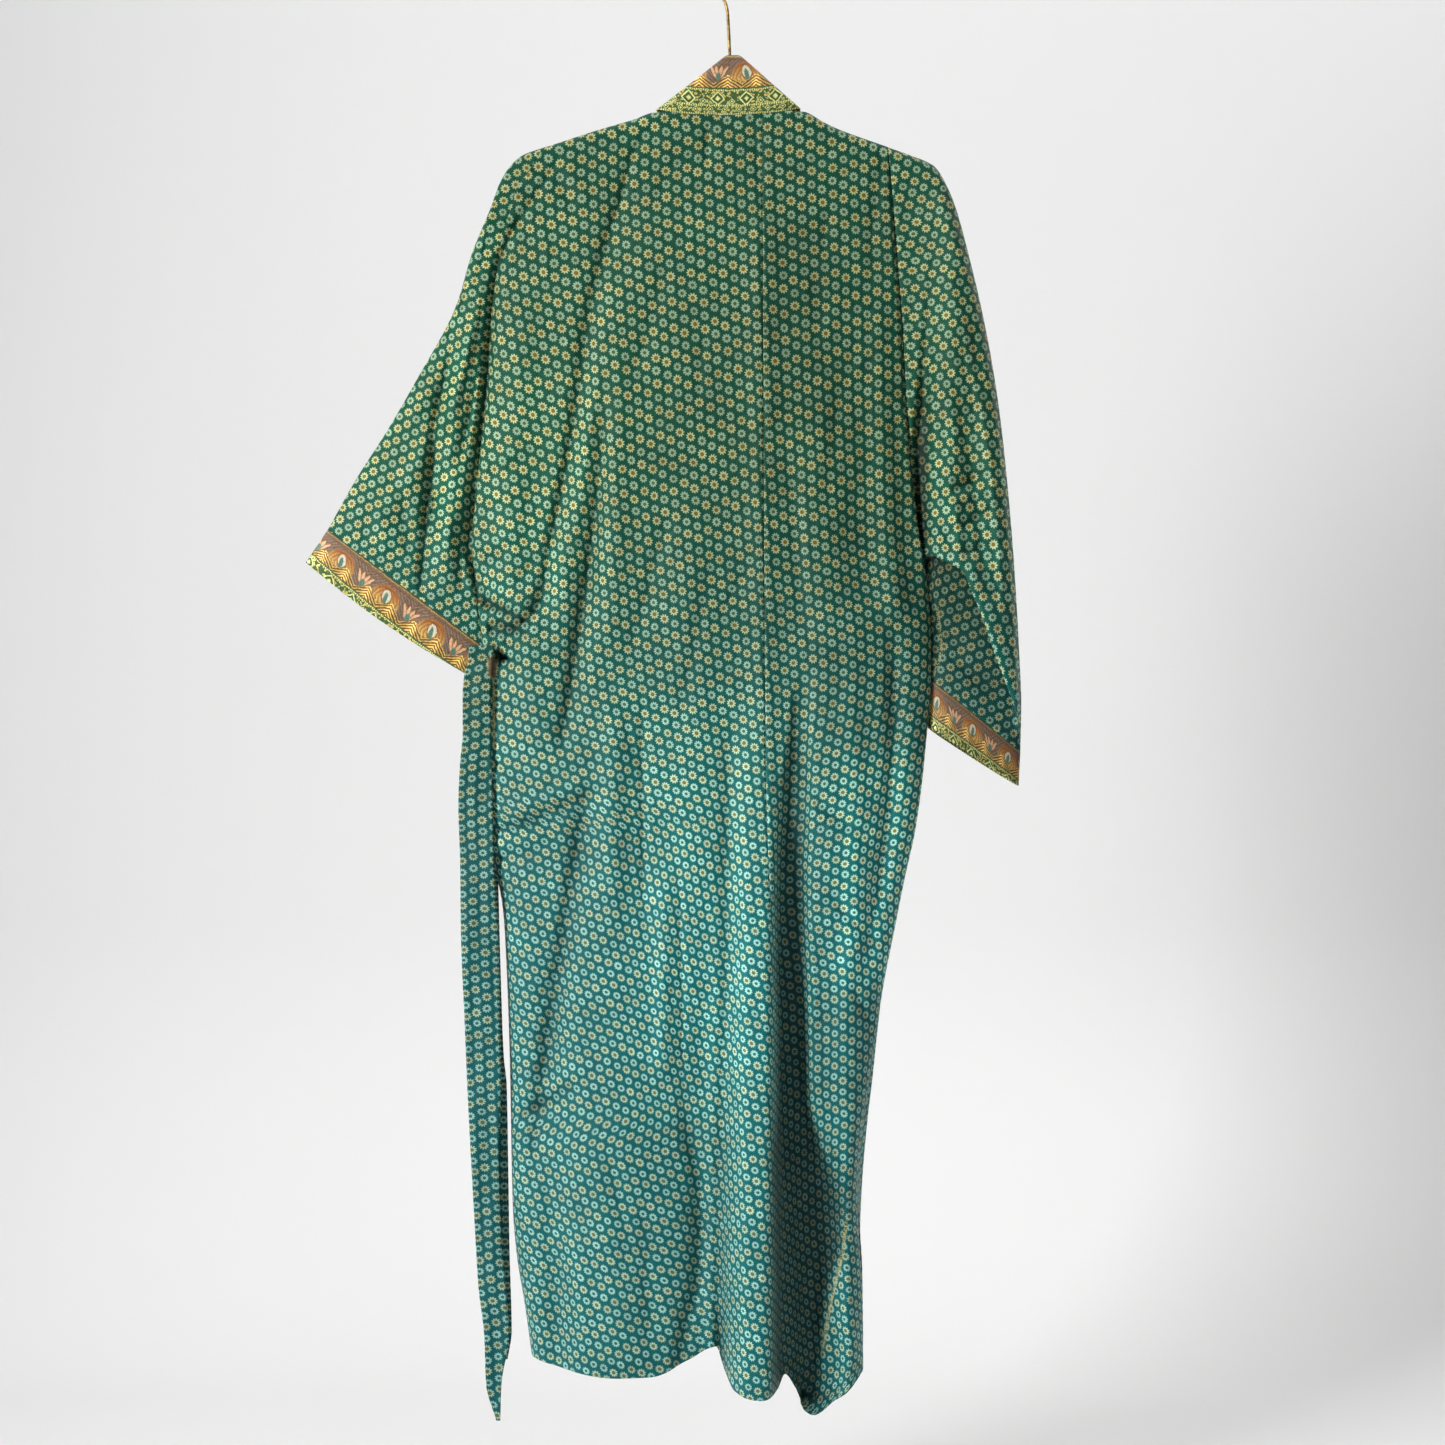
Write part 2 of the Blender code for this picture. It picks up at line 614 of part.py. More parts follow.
def cloth_over_hanger(x):
    """Give the drop of the cloth's top line over the hanger, sleeves included."""
    if x < RIDGE[0].x:
        return left_sleeve_top(x)
    if x > RIDGE[-1].x:
        return right_sleeve_top(x)
    return ridge_drop(x)


def hanger_rings():
    """Section the hanger's two arms from its left tip to its right one."""
    rings = []
    span = HANGER_RIGHT_TIP - HANGER_LEFT_TIP
    for step in range(HANGER_RINGS + 1):
        x = HANGER_LEFT_TIP + span * (0.5 - 0.5 * math.cos(math.pi * step / HANGER_RINGS))
        near_tip = min(x - HANGER_LEFT_TIP, HANGER_RIGHT_TIP - x)
        swell = math.sqrt(min(1.0, near_tip / HANGER_TAPER + 0.02))
        taper = HANGER_TIP_SHARE + (1.0 - HANGER_TIP_SHARE) * swell
        peak = ease((HANGER_PEAK_HALF - abs(x)) / HANGER_PEAK_SLOPE)
        dip = NECK_DIP * math.exp(-((abs(x) - NECK_RIGHT) / NECK_DIP_WIDTH) ** 2)
        clear = 0.5 * WALL + HANGER_GAP + dip + (1.0 - taper) * HANGER_TIP_SINK
        top = cloth_over_hanger(x) + clear - HANGER_PEAK * peak
        half_depth = HANGER_HALF_DEPTH * taper
        height = HANGER_HEIGHT * taper + HANGER_PEAK_HEIGHT * ease(peak)
        ring = []
        for side in range(HANGER_SIDES):
            angle = 2.0 * math.pi * side / HANGER_SIDES
            rounding = half_depth * math.sin(angle)
            centre = top + half_depth if rounding >= 0.0 else top + height - half_depth
            ring.append([x, half_depth * math.cos(angle), centre - rounding])
        rings.append(ring)
    return np.array(rings)


def make_material(name, colour, roughness, metallic=0.0):
    """Make a plain material of one colour."""
    material = bpy.data.materials.new(name)
    material.use_nodes = True
    shader = material.node_tree.nodes["Principled BSDF"]
    shader.inputs["Base Color"].default_value = (*colour, 1.0)
    shader.inputs["Roughness"].default_value = roughness
    shader.inputs["Metallic"].default_value = metallic
    material.diffuse_color = (*colour, 1.0)
    return material


def add_mesh(name, grid, closed, capped, material):
    """Make an object from a grid of points, as an open sheet, a tube or a capped bar."""
    rows, columns = grid.shape[:2]
    points = grid.reshape(-1, 3)
    vertices = [(x * MM, y * MM, -drop * MM) for x, y, drop in points]
    last_column = columns if closed else columns - 1
    faces = []
    for row in range(rows - 1):
        for column in range(last_column):
            beside = (column + 1) % columns
            faces.append((
                row * columns + column, row * columns + beside,
                (row + 1) * columns + beside, (row + 1) * columns + column,
            ))
    if capped:
        faces.append(tuple(range(columns)))
        faces.append(tuple((rows - 1) * columns + column for column in range(columns)))
    mesh = bpy.data.meshes.new(name)
    mesh.from_pydata(vertices, [], faces)
    shape = bmesh.new()
    shape.from_mesh(mesh)
    bmesh.ops.recalc_face_normals(shape, faces=shape.faces)
    shape.to_mesh(mesh)
    shape.free()
    mesh.materials.append(material)
    mesh.shade_smooth()
    made = bpy.data.objects.new(name, mesh)
    robe.objects.link(made)
    return made


def add_cloth(name, grid, closed, material):
    """Make a wall of cloth with its thickness on both sides of the grid."""
    made = add_mesh(name, grid, closed, False, material)
    wall = made.modifiers.new("Wall", "SOLIDIFY")
    wall.thickness = WALL * MM
    wall.offset = 0.0
    return made


def add_wire(name, places, radius, material):
    """Make a round wire along a list of places."""
    curve = bpy.data.curves.new(name, "CURVE")
    curve.dimensions = "3D"
    curve.bevel_depth = radius * MM
    curve.bevel_resolution = 2
    curve.use_fill_caps = True
    spline = curve.splines.new("POLY")
    spline.points.add(len(places) - 1)
    for point, (x, y, drop) in zip(spline.points, places):
        point.co = (x * MM, y * MM, -drop * MM, 1.0)
    curve.materials.append(material)
    made = bpy.data.objects.new(name, curve)
    robe.objects.link(made)
    return made


def hook_places():
    """Follow the hook from the hanger's arms up its stem and over the rail's place."""
    centre_drop = HOOK_RADIUS - HOOK_WIRE
    arc = []
    for step in range(HOOK_STEPS + 1):
        angle = math.radians(HOOK_START - HOOK_SWEEP * step / HOOK_STEPS)
        arc.append((HOOK_RADIUS * math.cos(angle), centre_drop - HOOK_RADIUS * math.sin(angle)))
    return [(x, 0.0, drop) for x, drop in [tuple(level) for level in HOOK_STEM] + arc]


def woven_point(share, drop):
    """Find the back's wall at a drop, straight between two of its rows."""
    steps = body_steps()
    column = [back_point(share, along) for along in steps]
    drops = [place[2] for place in column]
    after = int(np.searchsorted(drops, drop))
    portion = (drop - drops[after - 1]) / (drops[after] - drops[after - 1])
    return column[after - 1] + (column[after] - column[after - 1]) * portion


def loop_places():
    """Follow the belt's loop out from the side, under the belt's bend and back above it."""
    lower = BELT_NEAR[0].drop - BELT_BEND + 0.5 * WALL + SEAM + LOOP_WIRE
    y = BELT_NEAR[0].y
    seated = []
    for drop in (lower, lower - LOOP_HEIGHT):
        cloth = woven_point(LOOP_SHARE, drop)
        run = woven_point(1.6 * LOOP_SHARE, drop) - woven_point(0.4 * LOOP_SHARE, drop)
        out = np.array([run[1], -run[0], 0.0]) / math.hypot(run[0], run[1])
        foot = cloth + out * (0.5 * WALL + LOOP_GAP)
        foot[2] = drop
        seated.append((foot, foot + out * LOOP_LEAD))
    (low_foot, low_lead), (high_foot, high_lead) = seated
    upper = lower - LOOP_HEIGHT
    bend = [
        (-233.0, y, lower), (-250.0, y, lower), (-264.5, y, lower), (-267.5, y, lower - 3.0),
        (-268.5, y, lower - 0.5 * LOOP_HEIGHT), (-266.5, y, upper + 3.0), (-263.0, y, upper),
        (-250.0, y, upper), (-235.0, y, upper),
    ]
    return [tuple(low_foot), tuple(low_lead)] + bend + [tuple(high_lead), tuple(high_foot)]


def build_robe():
    """Build every piece of the robe and what it hangs on."""
    silk = make_material("green_printed_silk", (0.016, 0.13, 0.10), 0.5)
    brocade = make_material("gold_brocade_border", (0.36, 0.24, 0.06), 0.45, 0.2)
    wood = make_material("varnished_beech", (0.42, 0.25, 0.12), 0.45)
    steel = make_material("brassed_steel", (0.45, 0.36, 0.22), 0.3, 1.0)

    panels = {
        "back_left": back_half_grid(True),
        "back_right": back_half_grid(False),
        "left_front": panel_grid(left_front_point),
        "right_front": panel_grid(right_front_point),
    }
    for name, grid in panels.items():
        add_cloth(name, trimmed(grid, rows=(SEAM, 0.0), columns=(0.0, 0.5 * SEAM)), False, silk)

    sleeves = {
        "left": (SLEEVE_TOP_LEFT, SLEEVE_BOTTOM_LEFT, left_front_point, back_point,
                 CUFF_RUN_LEFT),
        "right": (SLEEVE_TOP_RIGHT, SLEEVE_BOTTOM_RIGHT, right_front_point,
                  lambda share, along: back_point(1.0 - share, along), CUFF_RUN_RIGHT),
    }
    for name, (top, bottom, front, behind, cuff_run) in sleeves.items():
        halves = (armhole_half(behind), armhole_half(front))
        sleeve = sleeve_grid(name, top, bottom, halves)
        add_cloth(f"{name}_sleeve", sleeve, True, silk)
        add_cloth(f"{name}_cuff", cuff_grid(sleeve, cuff_run), True, brocade)

    add_cloth("neckband", neckband_grid(), False, brocade)
    add_cloth("belt", belt_grid(), False, silk)
    add_wire("belt_loop", loop_places(), LOOP_WIRE, silk)
    add_mesh("hanger_arms", hanger_rings(), True, True, wood)
    add_wire("hanger_hook", hook_places(), HOOK_WIRE, steel)


for leftover in list(bpy.data.objects):
    bpy.data.objects.remove(leftover, do_unlink=True)
robe = bpy.data.collections.new("kimono_robe")
bpy.context.scene.collection.children.link(robe)
build_robe()
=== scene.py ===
"""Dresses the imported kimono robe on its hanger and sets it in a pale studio.

Tables are in millimetres: x runs across from the hook, depth stands out from the middle
plane of the hanging robe, and drop is the distance below the inside of the hook. The
robe is seen from behind, so the back stands out towards negative y. Prints are laid out
in the flat cloth's own millimetres, which each sheet keeps in its UV map.
"""

from dataclasses import dataclass, field
from enum import Enum
import logging
import math
from typing import Sequence

import bpy
import numpy as np
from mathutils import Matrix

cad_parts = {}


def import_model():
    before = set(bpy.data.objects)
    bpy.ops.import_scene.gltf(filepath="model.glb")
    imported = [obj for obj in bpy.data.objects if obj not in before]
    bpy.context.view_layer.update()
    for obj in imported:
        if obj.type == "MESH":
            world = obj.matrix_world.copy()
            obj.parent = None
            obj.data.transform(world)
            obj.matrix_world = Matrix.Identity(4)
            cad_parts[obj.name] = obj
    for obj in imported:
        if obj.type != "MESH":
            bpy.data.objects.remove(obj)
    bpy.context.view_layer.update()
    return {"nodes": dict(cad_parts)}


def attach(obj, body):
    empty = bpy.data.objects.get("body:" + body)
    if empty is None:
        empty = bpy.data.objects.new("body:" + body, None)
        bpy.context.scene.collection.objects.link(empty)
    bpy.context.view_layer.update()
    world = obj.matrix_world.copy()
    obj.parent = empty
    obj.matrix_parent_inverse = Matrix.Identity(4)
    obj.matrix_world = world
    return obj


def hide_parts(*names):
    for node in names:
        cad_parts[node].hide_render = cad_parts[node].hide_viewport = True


log = logging.getLogger("kimono")

Array = np.ndarray

MM = 0.001
SILK_THICKNESS = 0.5
BORDER_THICKNESS = 0.7
PRINT_MAP = "print_mm"
# The attribute that holds painted light and shade for each point of a sheet.
SHADE_LAYER = "painted_cloth_light"
EDGE_LAYER = "woven_edge"
TO_METRES = np.array([MM, MM, -MM])  # from x, depth and drop to the frame


class Slot(Enum):
    """Names of the material slots, one given with each piece, which nothing reads."""

    SILK = "printed_silk"
    BORDER = "border_cloth"
    WOOD = "hanger_wood"
    WIRE = "hook_wire"


class Side(Enum):
    """The photograph's left or right side of the robe, as the sign of x."""

    LEFT = -1.0
    RIGHT = 1.0


class Facing(Enum):
    """The side of the robe that a sheet lies on, as the sign of its depth in y."""

    BACK = -1.0
    FRONT = 1.0


class SmoothCurve:
    """A curve that runs smoothly through its values and never past them."""

    def __init__(self, knots: Sequence[float], values: Sequence[float]) -> None:
        """Work out the slope at each knot.

        Args:
            knots: Rising places along the curve.
            values: The curve's value at each knot.
        """
        self.knots = np.array(knots, dtype=float)
        self.values = np.array(values, dtype=float)
        self.steps = np.diff(self.knots)
        rises = np.diff(self.values) / self.steps
        self.slopes = np.zeros_like(self.values)
        self.slopes[0] = rises[0]
        self.slopes[-1] = rises[-1]
        before, after = rises[:-1], rises[1:]
        same_way = before * after > 0.0
        total = np.where(same_way, before + after, 1.0)
        self.slopes[1:-1] = np.where(same_way, 2.0 * before * after / total, 0.0)

    def __call__(self, place: Array) -> Array:
        """Read the curve.

        Args:
            place: Places along the curve, held at its ends.

        Returns:
            The value at each place.
        """
        place = np.clip(place, self.knots[0], self.knots[-1])
        last = len(self.steps) - 1
        index = np.clip(np.searchsorted(self.knots, place) - 1, 0, last)
        step = self.steps[index]
        t = (place - self.knots[index]) / step
        held = ((1.0 + 2.0 * t) * (1.0 - t) ** 2 * self.values[index]
                + t * t * (3.0 - 2.0 * t) * self.values[index + 1])
        leaning = (t * (1.0 - t) ** 2 * self.slopes[index]
                   + t * t * (t - 1.0) * self.slopes[index + 1])
        return held + step * leaning


def curve_of(rows: Sequence[Sequence[float]], knot: int = 0, value: int = 1) -> SmoothCurve:
    """Make the smooth curve of one column of a table over another.

    Args:
        rows: The table.
        knot: The column that the curve runs along.
        value: The column that the curve gives.

    Returns:
        The curve.
    """
    return SmoothCurve([row[knot] for row in rows], [row[value] for row in rows])


def ease(share: Array) -> Array:
    """Ease a share from 0 to 1, held at both ends."""
    share = np.clip(share, 0.0, 1.0)
    return share * share * (3.0 - 2.0 * share)


def running_total(steps: Array, axis: int) -> Array:
    """Add steps up along an axis, starting from 0."""
    start = np.zeros_like(np.take(steps, [0], axis=axis))
    return np.concatenate([start, np.cumsum(steps, axis=axis)], axis=axis)


def even_walk(points: Array, count: int) -> Array:
    """Space points evenly along a line by its length.

    Args:
        points: The line's points, one a row.
        count: How many points are wanted.

    Returns:
        The evenly spaced points.
    """
    lengths = running_total(np.linalg.norm(np.diff(points, axis=0), axis=1), 0)
    places = np.linspace(0.0, lengths[-1], count)
    return np.stack([np.interp(places, lengths, column) for column in points.T], axis=1)


def calmed(rows: Array, rounds: int) -> Array:
    """Even rows of values out by averaging each with the two beside it, but for the ends.

    Args:
        rows: The values, which are changed in place.
        rounds: How often they are averaged.

    Returns:
        The same rows.
    """
    for _ in range(rounds):
        rows[1:-1] = 0.25 * rows[:-2] + 0.5 * rows[1:-1] + 0.25 * rows[2:]
    return rows


@dataclass(frozen=True)
class Pleat:
    """A long ridge or trough that runs down the cloth.

    Each row holds the drop, the x of its middle, its flanks' widths to the left and to
    the right, and how far it stands out, below 0 for a trough.
    """

    rows: tuple[tuple[float, float, float, float, float], ...]
    power: float = 2.0

    def rise(self, x: Array, drop: Array) -> Array:
        """Give how far the pleat lifts the cloth at each place."""
        middle, left, right, height = (curve_of(self.rows, 0, column)(drop)
                                       for column in (1, 2, 3, 4))
        flank = np.where(x < middle, left, right)
        inside = (drop > self.rows[0][0]) & (drop < self.rows[-1][0])
        lifted = height * np.exp(-(np.abs(x - middle) / flank) ** self.power)
        return np.where(inside, lifted, 0.0)


@dataclass(frozen=True)
class Crease:
    """A short soft crease from one place to another, with a slight bow."""

    start: tuple[float, float]
    end: tuple[float, float]
    width: float
    height: float
    bow: float = 0.0

    def rise(self, x: Array, drop: Array) -> Array:
        """Give how far the crease lifts the cloth at each place."""
        run_x, run_drop = self.end[0] - self.start[0], self.end[1] - self.start[1]
        length = math.hypot(run_x, run_drop)
        along = ((x - self.start[0]) * run_x + (drop - self.start[1]) * run_drop) / length
        across = ((x - self.start[0]) * run_drop - (drop - self.start[1]) * run_x) / length
        share = along / length
        inside = np.clip(share, 0.0, 1.0)
        beyond = (share - inside) * length
        across = across - self.bow * 4.0 * inside * (1.0 - inside)
        fade = np.clip(4.0 * inside * (1.0 - inside), 0.0, 1.0) ** 0.7
        away = (across ** 2 + beyond ** 2) / self.width ** 2
        return self.height * fade * np.exp(-away)


def creases_of(*rows: tuple[float, ...]) -> list[Crease]:
    """Make creases of rows with their start, end, width, height and bow."""
    return [Crease(row[:2], row[2:4], *row[4:]) for row in rows]


def lifted(folds: Sequence[Pleat | Crease], x: Array, drop: Array) -> Array:
    """Add up what a set of folds lifts the cloth by at each place."""
    total = np.zeros_like(x)
    for fold in folds:
        total = total + fold.rise(x, drop)
    return total


def painted_fold_shade(folds: Sequence[Pleat | Crease], x: Array, drop: Array) -> Array:
    """Paint shade into troughs, darker the deeper they are, and a faint painted light onto ridges.
    """
    fold = lifted(folds, x, drop)
    trough = 0.026 * fold - 0.0009 * fold ** 2
    return np.clip(np.where(fold < 0.0, trough, 0.010 * fold), -0.8, 0.1)


@dataclass(frozen=True)
class LightPatch:
    """A soft-edged patch: its amount paints light, or below 0 shade, into the cloth, or narrows the
    print.
    """

    amount: float
    left: float
    right: float
    top: float
    bottom: float
    soft: float
    soft_top: float | None = None

    def share(self, x: Array, drop: Array) -> Array:
        """Give how much of the patch lies at each place, from 0 to 1."""
        across = ease((x - self.left) / self.soft + 0.5) * ease((self.right - x) / self.soft + 0.5)
        down = ease((drop - self.top) / (self.soft_top or self.soft) + 0.5)
        return across * down * ease((self.bottom - drop) / self.soft + 0.5)


def patches_of(*rows: tuple[float, ...]) -> tuple[LightPatch, ...]:
    """Make light patches of rows with their amount, sides and softness."""
    return tuple(LightPatch(*row) for row in rows)


def patched_light(patches: Sequence[LightPatch], x: Array, drop: Array) -> Array:
    """Add up what a set of patches lightens or darkens each place by."""
    return sum((patch.amount * patch.share(x, drop) for patch in patches), np.zeros_like(x))


@dataclass(frozen=True)
class EdgeMark:
    """A seam where the silk's woven edge shows: 1 draws its gold threads, 2 its brown ones.

    Each row holds the drop and the x of the seam.
    """

    rows: tuple[tuple[float, float], ...]
    half_width: float
    kind: float = 1.0

    def mask(self, x: Array, drop: Array) -> Array:
        """Give the mark at each place, fading at its sides."""
        away = np.abs(x - curve_of(self.rows)(drop)) / self.half_width
        inside = (drop > self.rows[0][0]) & (drop < self.rows[-1][0])
        return np.where(inside, self.kind * np.exp(-away ** 4), 0.0)


EDGE_MARKS = (
    EdgeMark(((1262, 116), (1290, 113), (1310, 109), (1345, 101), (1392, 93)), 1.7),
    EdgeMark(((716, -234), (750, -234), (792, -233)), 1.5),
    EdgeMark(((703, -235), (722, -235)), 4.5, 2),
    EdgeMark(((652, 208), (694, 212), (708, 209), (724, 202)), 1.6)
)


def edge_marks(points: Array) -> Array:
    """Mark where the silk's woven edge shows on the side that the photograph shows."""
    x, drop = points[..., 0], points[..., 2]
    marks = np.zeros_like(x)
    for mark in EDGE_MARKS:
        marks = np.maximum(marks, mark.mask(x, drop))
    return np.where(points[..., 1] < 0.0, marks, 0.0)


def scattered_creases(seed: int, count: int, left: float, right: float, top: float,
                      bottom: float, height: float) -> list[Crease]:
    """Scatter faint creases, as silk keeps them from being folded away.

    Args:
        seed: The seed of their places.
        count: How many there are.
        left: The least x.
        right: The greatest x.
        top: The least drop.
        bottom: The greatest drop.
        height: The greatest height or depth of one.

    Returns:
        The creases.
    """
    chance = np.random.default_rng(seed)
    creases = []
    for _ in range(count):
        x, drop = chance.uniform(left, right), chance.uniform(top, bottom)
        angle = chance.normal(math.pi / 2.0, 0.55)
        half = chance.uniform(12.0, 42.0)
        reach = (half * math.cos(angle), half * math.sin(angle))
        creases.append(Crease((x - reach[0], drop - reach[1]), (x + reach[0], drop + reach[1]),
                              chance.uniform(3.0, 7.5), chance.uniform(-height, height),
                              chance.uniform(-4.0, 4.0)))
    return creases


@dataclass
class ClothGrid:
    """A sheet as rows of points, with the place of each point in the flat cloth.

    points holds x, y and drop. flat holds the place in the flat cloth, one column more
    than points where the sheet closes on itself. light is painted light and shade: how
    much brighter, or below 0 darker, the cloth's colour is made at each point.
    """

    points: Array
    flat: Array
    closed: bool = False
    light: Array | None = None


def placed(name: str, data: bpy.types.ID) -> bpy.types.Object:
    """Put new data into the scene as an object."""
    made = bpy.data.objects.new(name, data)
    bpy.context.scene.collection.objects.link(made)
    return made


def smooth_piece(name: str, points: Sequence, faces: Sequence,
                 material: bpy.types.Material) -> bpy.types.Object:
    """Make a smoothly shaded piece of points and faces.

    Args:
        name: The new object's name.
        points: Its points in metres.
        faces: Each face's points by their numbers.
        material: Its finish.

    Returns:
        The new object.
    """
    mesh = bpy.data.meshes.new(name)
    mesh.from_pydata(points, [], faces)
    mesh.materials.append(material)
    mesh.shade_smooth()
    return placed(name, mesh)


def sheet_object(name: str, cloth: ClothGrid, thickness: float,
                 material: bpy.types.Material) -> bpy.types.Object:
    """Make a thin shell of cloth from its grid.

    Args:
        name: The piece's name.
        cloth: Its points and their places in the flat cloth.
        thickness: The cloth's thickness.
        material: Its finish.

    Returns:
        The new object, with its faces outwards.
    """
    rows, columns = cloth.points.shape[:2]
    points = cloth.points.reshape(-1, 3)
    row = np.arange(rows - 1)[:, None]
    column = np.arange(columns if cloth.closed else columns - 1)[None, :]
    beside = (column + 1) % columns
    quads = np.stack([row * columns + column, row * columns + beside,
                      (row + 1) * columns + beside, (row + 1) * columns + column], axis=-1)
    quads = quads.reshape(-1, 4)
    flat = np.stack([cloth.flat[row, column], cloth.flat[row, column + 1],
                     cloth.flat[row + 1, column + 1], cloth.flat[row + 1, column]], axis=-2)
    flat = flat.reshape(-1, 4, 2)
    places = points * TO_METRES
    corners = places[quads]
    normals = np.cross(corners[:, 2] - corners[:, 0], corners[:, 3] - corners[:, 1])
    outwards = normals[:, 1] * np.sign(corners.mean(axis=1)[:, 1])
    if outwards.sum() < 0.0:
        quads = quads[:, ::-1]
        flat = flat[:, ::-1]
    piece = smooth_piece(name, places, quads, material)
    layer = piece.data.uv_layers.new(name=PRINT_MAP)
    layer.data.foreach_set("uv", np.ascontiguousarray(flat, dtype=np.float32).ravel())
    light = cloth.light if cloth.light is not None else np.zeros((rows, columns))
    for layer_name, values in ((SHADE_LAYER, light), (EDGE_LAYER, edge_marks(cloth.points))):
        layer = piece.data.attributes.new(layer_name, "FLOAT", "POINT")
        layer.data.foreach_set("value", np.ascontiguousarray(values, dtype=np.float32).ravel())
    shell = piece.modifiers.new("Cloth thickness", "SOLIDIFY")
    shell.thickness = thickness * MM
    shell.offset = 0.0
    return piece


def settle(piece: bpy.types.Object, slot: Slot, node: str) -> None:
    """Let a finished piece ride on the robe in place of its CAD node.

    Args:
        piece: The finished piece.
        slot: Not used.
        node: The CAD node that it stands for.
    """
    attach(piece, "root")
    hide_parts(node)
    log.info("%s stands for %s with %d faces", piece.name, node, len(piece.data.polygons))


def linear(colour: str) -> tuple[float, float, float, float]:
    """Turn an sRGB hex colour into the linear one that a shader takes."""
    parts = [int(colour[place:place + 2], 16) / 255.0 for place in (1, 3, 5)]
    made = [part / 12.92 if part <= 0.04045 else ((part + 0.055) / 1.055) ** 2.4 for part in parts]
    return (made[0], made[1], made[2], 1.0)


class Wiring:
    """One material's node tree, in which add is the one small function that adds a node."""

    def __init__(self, name: str) -> None:
        """Start a material from the Principled shader alone."""
        self.material = bpy.data.materials.new(name)
        self.material.use_nodes = True
        self.tree = self.material.node_tree
        self.shader = self.tree.nodes["Principled BSDF"]

    def add(self, kind: str, feeds: Sequence | dict, out: int | str = 0, **settings) -> object:
        """Add a node with its settings and links.

        Args:
            kind: The node's type, without ShaderNode before it, and its operation after a
                point where it has one.
            feeds: What goes into its sockets, by order or by key: a socket to link, a
                value to set, or None to leave one.
            out: The output that is wanted.
            settings: The node's own settings.

        Returns:
            The wanted output socket.
        """
        kind, _, operation = kind.partition(".")
        if operation:
            settings["operation"] = operation
        node = self.tree.nodes.new("ShaderNode" + kind)
        for setting, value in settings.items():
            setattr(node, setting, value)
        pairs = feeds.items() if isinstance(feeds, dict) else enumerate(feeds)
        for key, feed in pairs:
            if isinstance(feed, bpy.types.NodeSocket):
                self.tree.links.new(feed, node.inputs[key])
            elif feed is not None:
                node.inputs[key].default_value = feed
        return node.outputs[out]

    def laid(self, base: object, *layers: tuple) -> object:
        """Lay dyes or colours over a base one by one.

        Args:
            base: The dye, as hex, or the colour below.
            layers: Each layer's mask and its dye or colour.

        Returns:
            The colour of them all.
        """
        base = linear(base) if isinstance(base, str) else base
        for mask, top in layers:
            top = linear(top) if isinstance(top, str) else top
            base = self.add("Mix", {0: mask, 6: base, 7: top}, out=2, data_type="RGBA")
        return base

    def shaded(self, colour: object, *shares: object) -> object:
        """Brighten or darken a colour by each share in turn."""
        for share in shares:
            colour = self.add("VectorMath.SCALE", {0: colour, 3: share})
        return colour

    def flat_place(self, scale: float, detail: float, reach: float) -> object:
        """Read the flat cloth's millimetres, wandering a little as woven threads do.

        Args:
            scale: How many wanderings there are in a millimetre.
            detail: How many finer ones lie in each.
            reach: How far they go, in millimetres.

        Returns:
            The place in the flat cloth.
        """
        place = self.add("UVMap", [], uv_map=PRINT_MAP)
        wander = self.add("TexNoise", {"Vector": place, "Scale": scale, "Detail": detail},
                          out="Color")
        wander = self.add("VectorMath.SUBTRACT", [wander, (0.5, 0.5, 0.5)])
        return self.add("VectorMath.MULTIPLY_ADD", [wander, (reach, reach, 0.0), place])

    def painted_cloth_light(self) -> object:
        """Read the painted light and shade as a brightness factor, 1 for unchanged."""
        light = self.add("Attribute", [], out="Fac", attribute_name=SHADE_LAYER)
        return self.add("Math.ADD", [light, 1.0])

    def finish(self, **sockets) -> bpy.types.Material:
        """Link or set the shader's own sockets.

        Args:
            sockets: What each of the shader's sockets gets, by its name with _ for a space.

        Returns:
            The finished material.
        """
        for key, feed in sockets.items():
            socket = self.shader.inputs[key.replace("_", " ")]
            if isinstance(feed, bpy.types.NodeSocket):
                self.tree.links.new(feed, socket)
            else:
                socket.default_value = feed
        return self.material


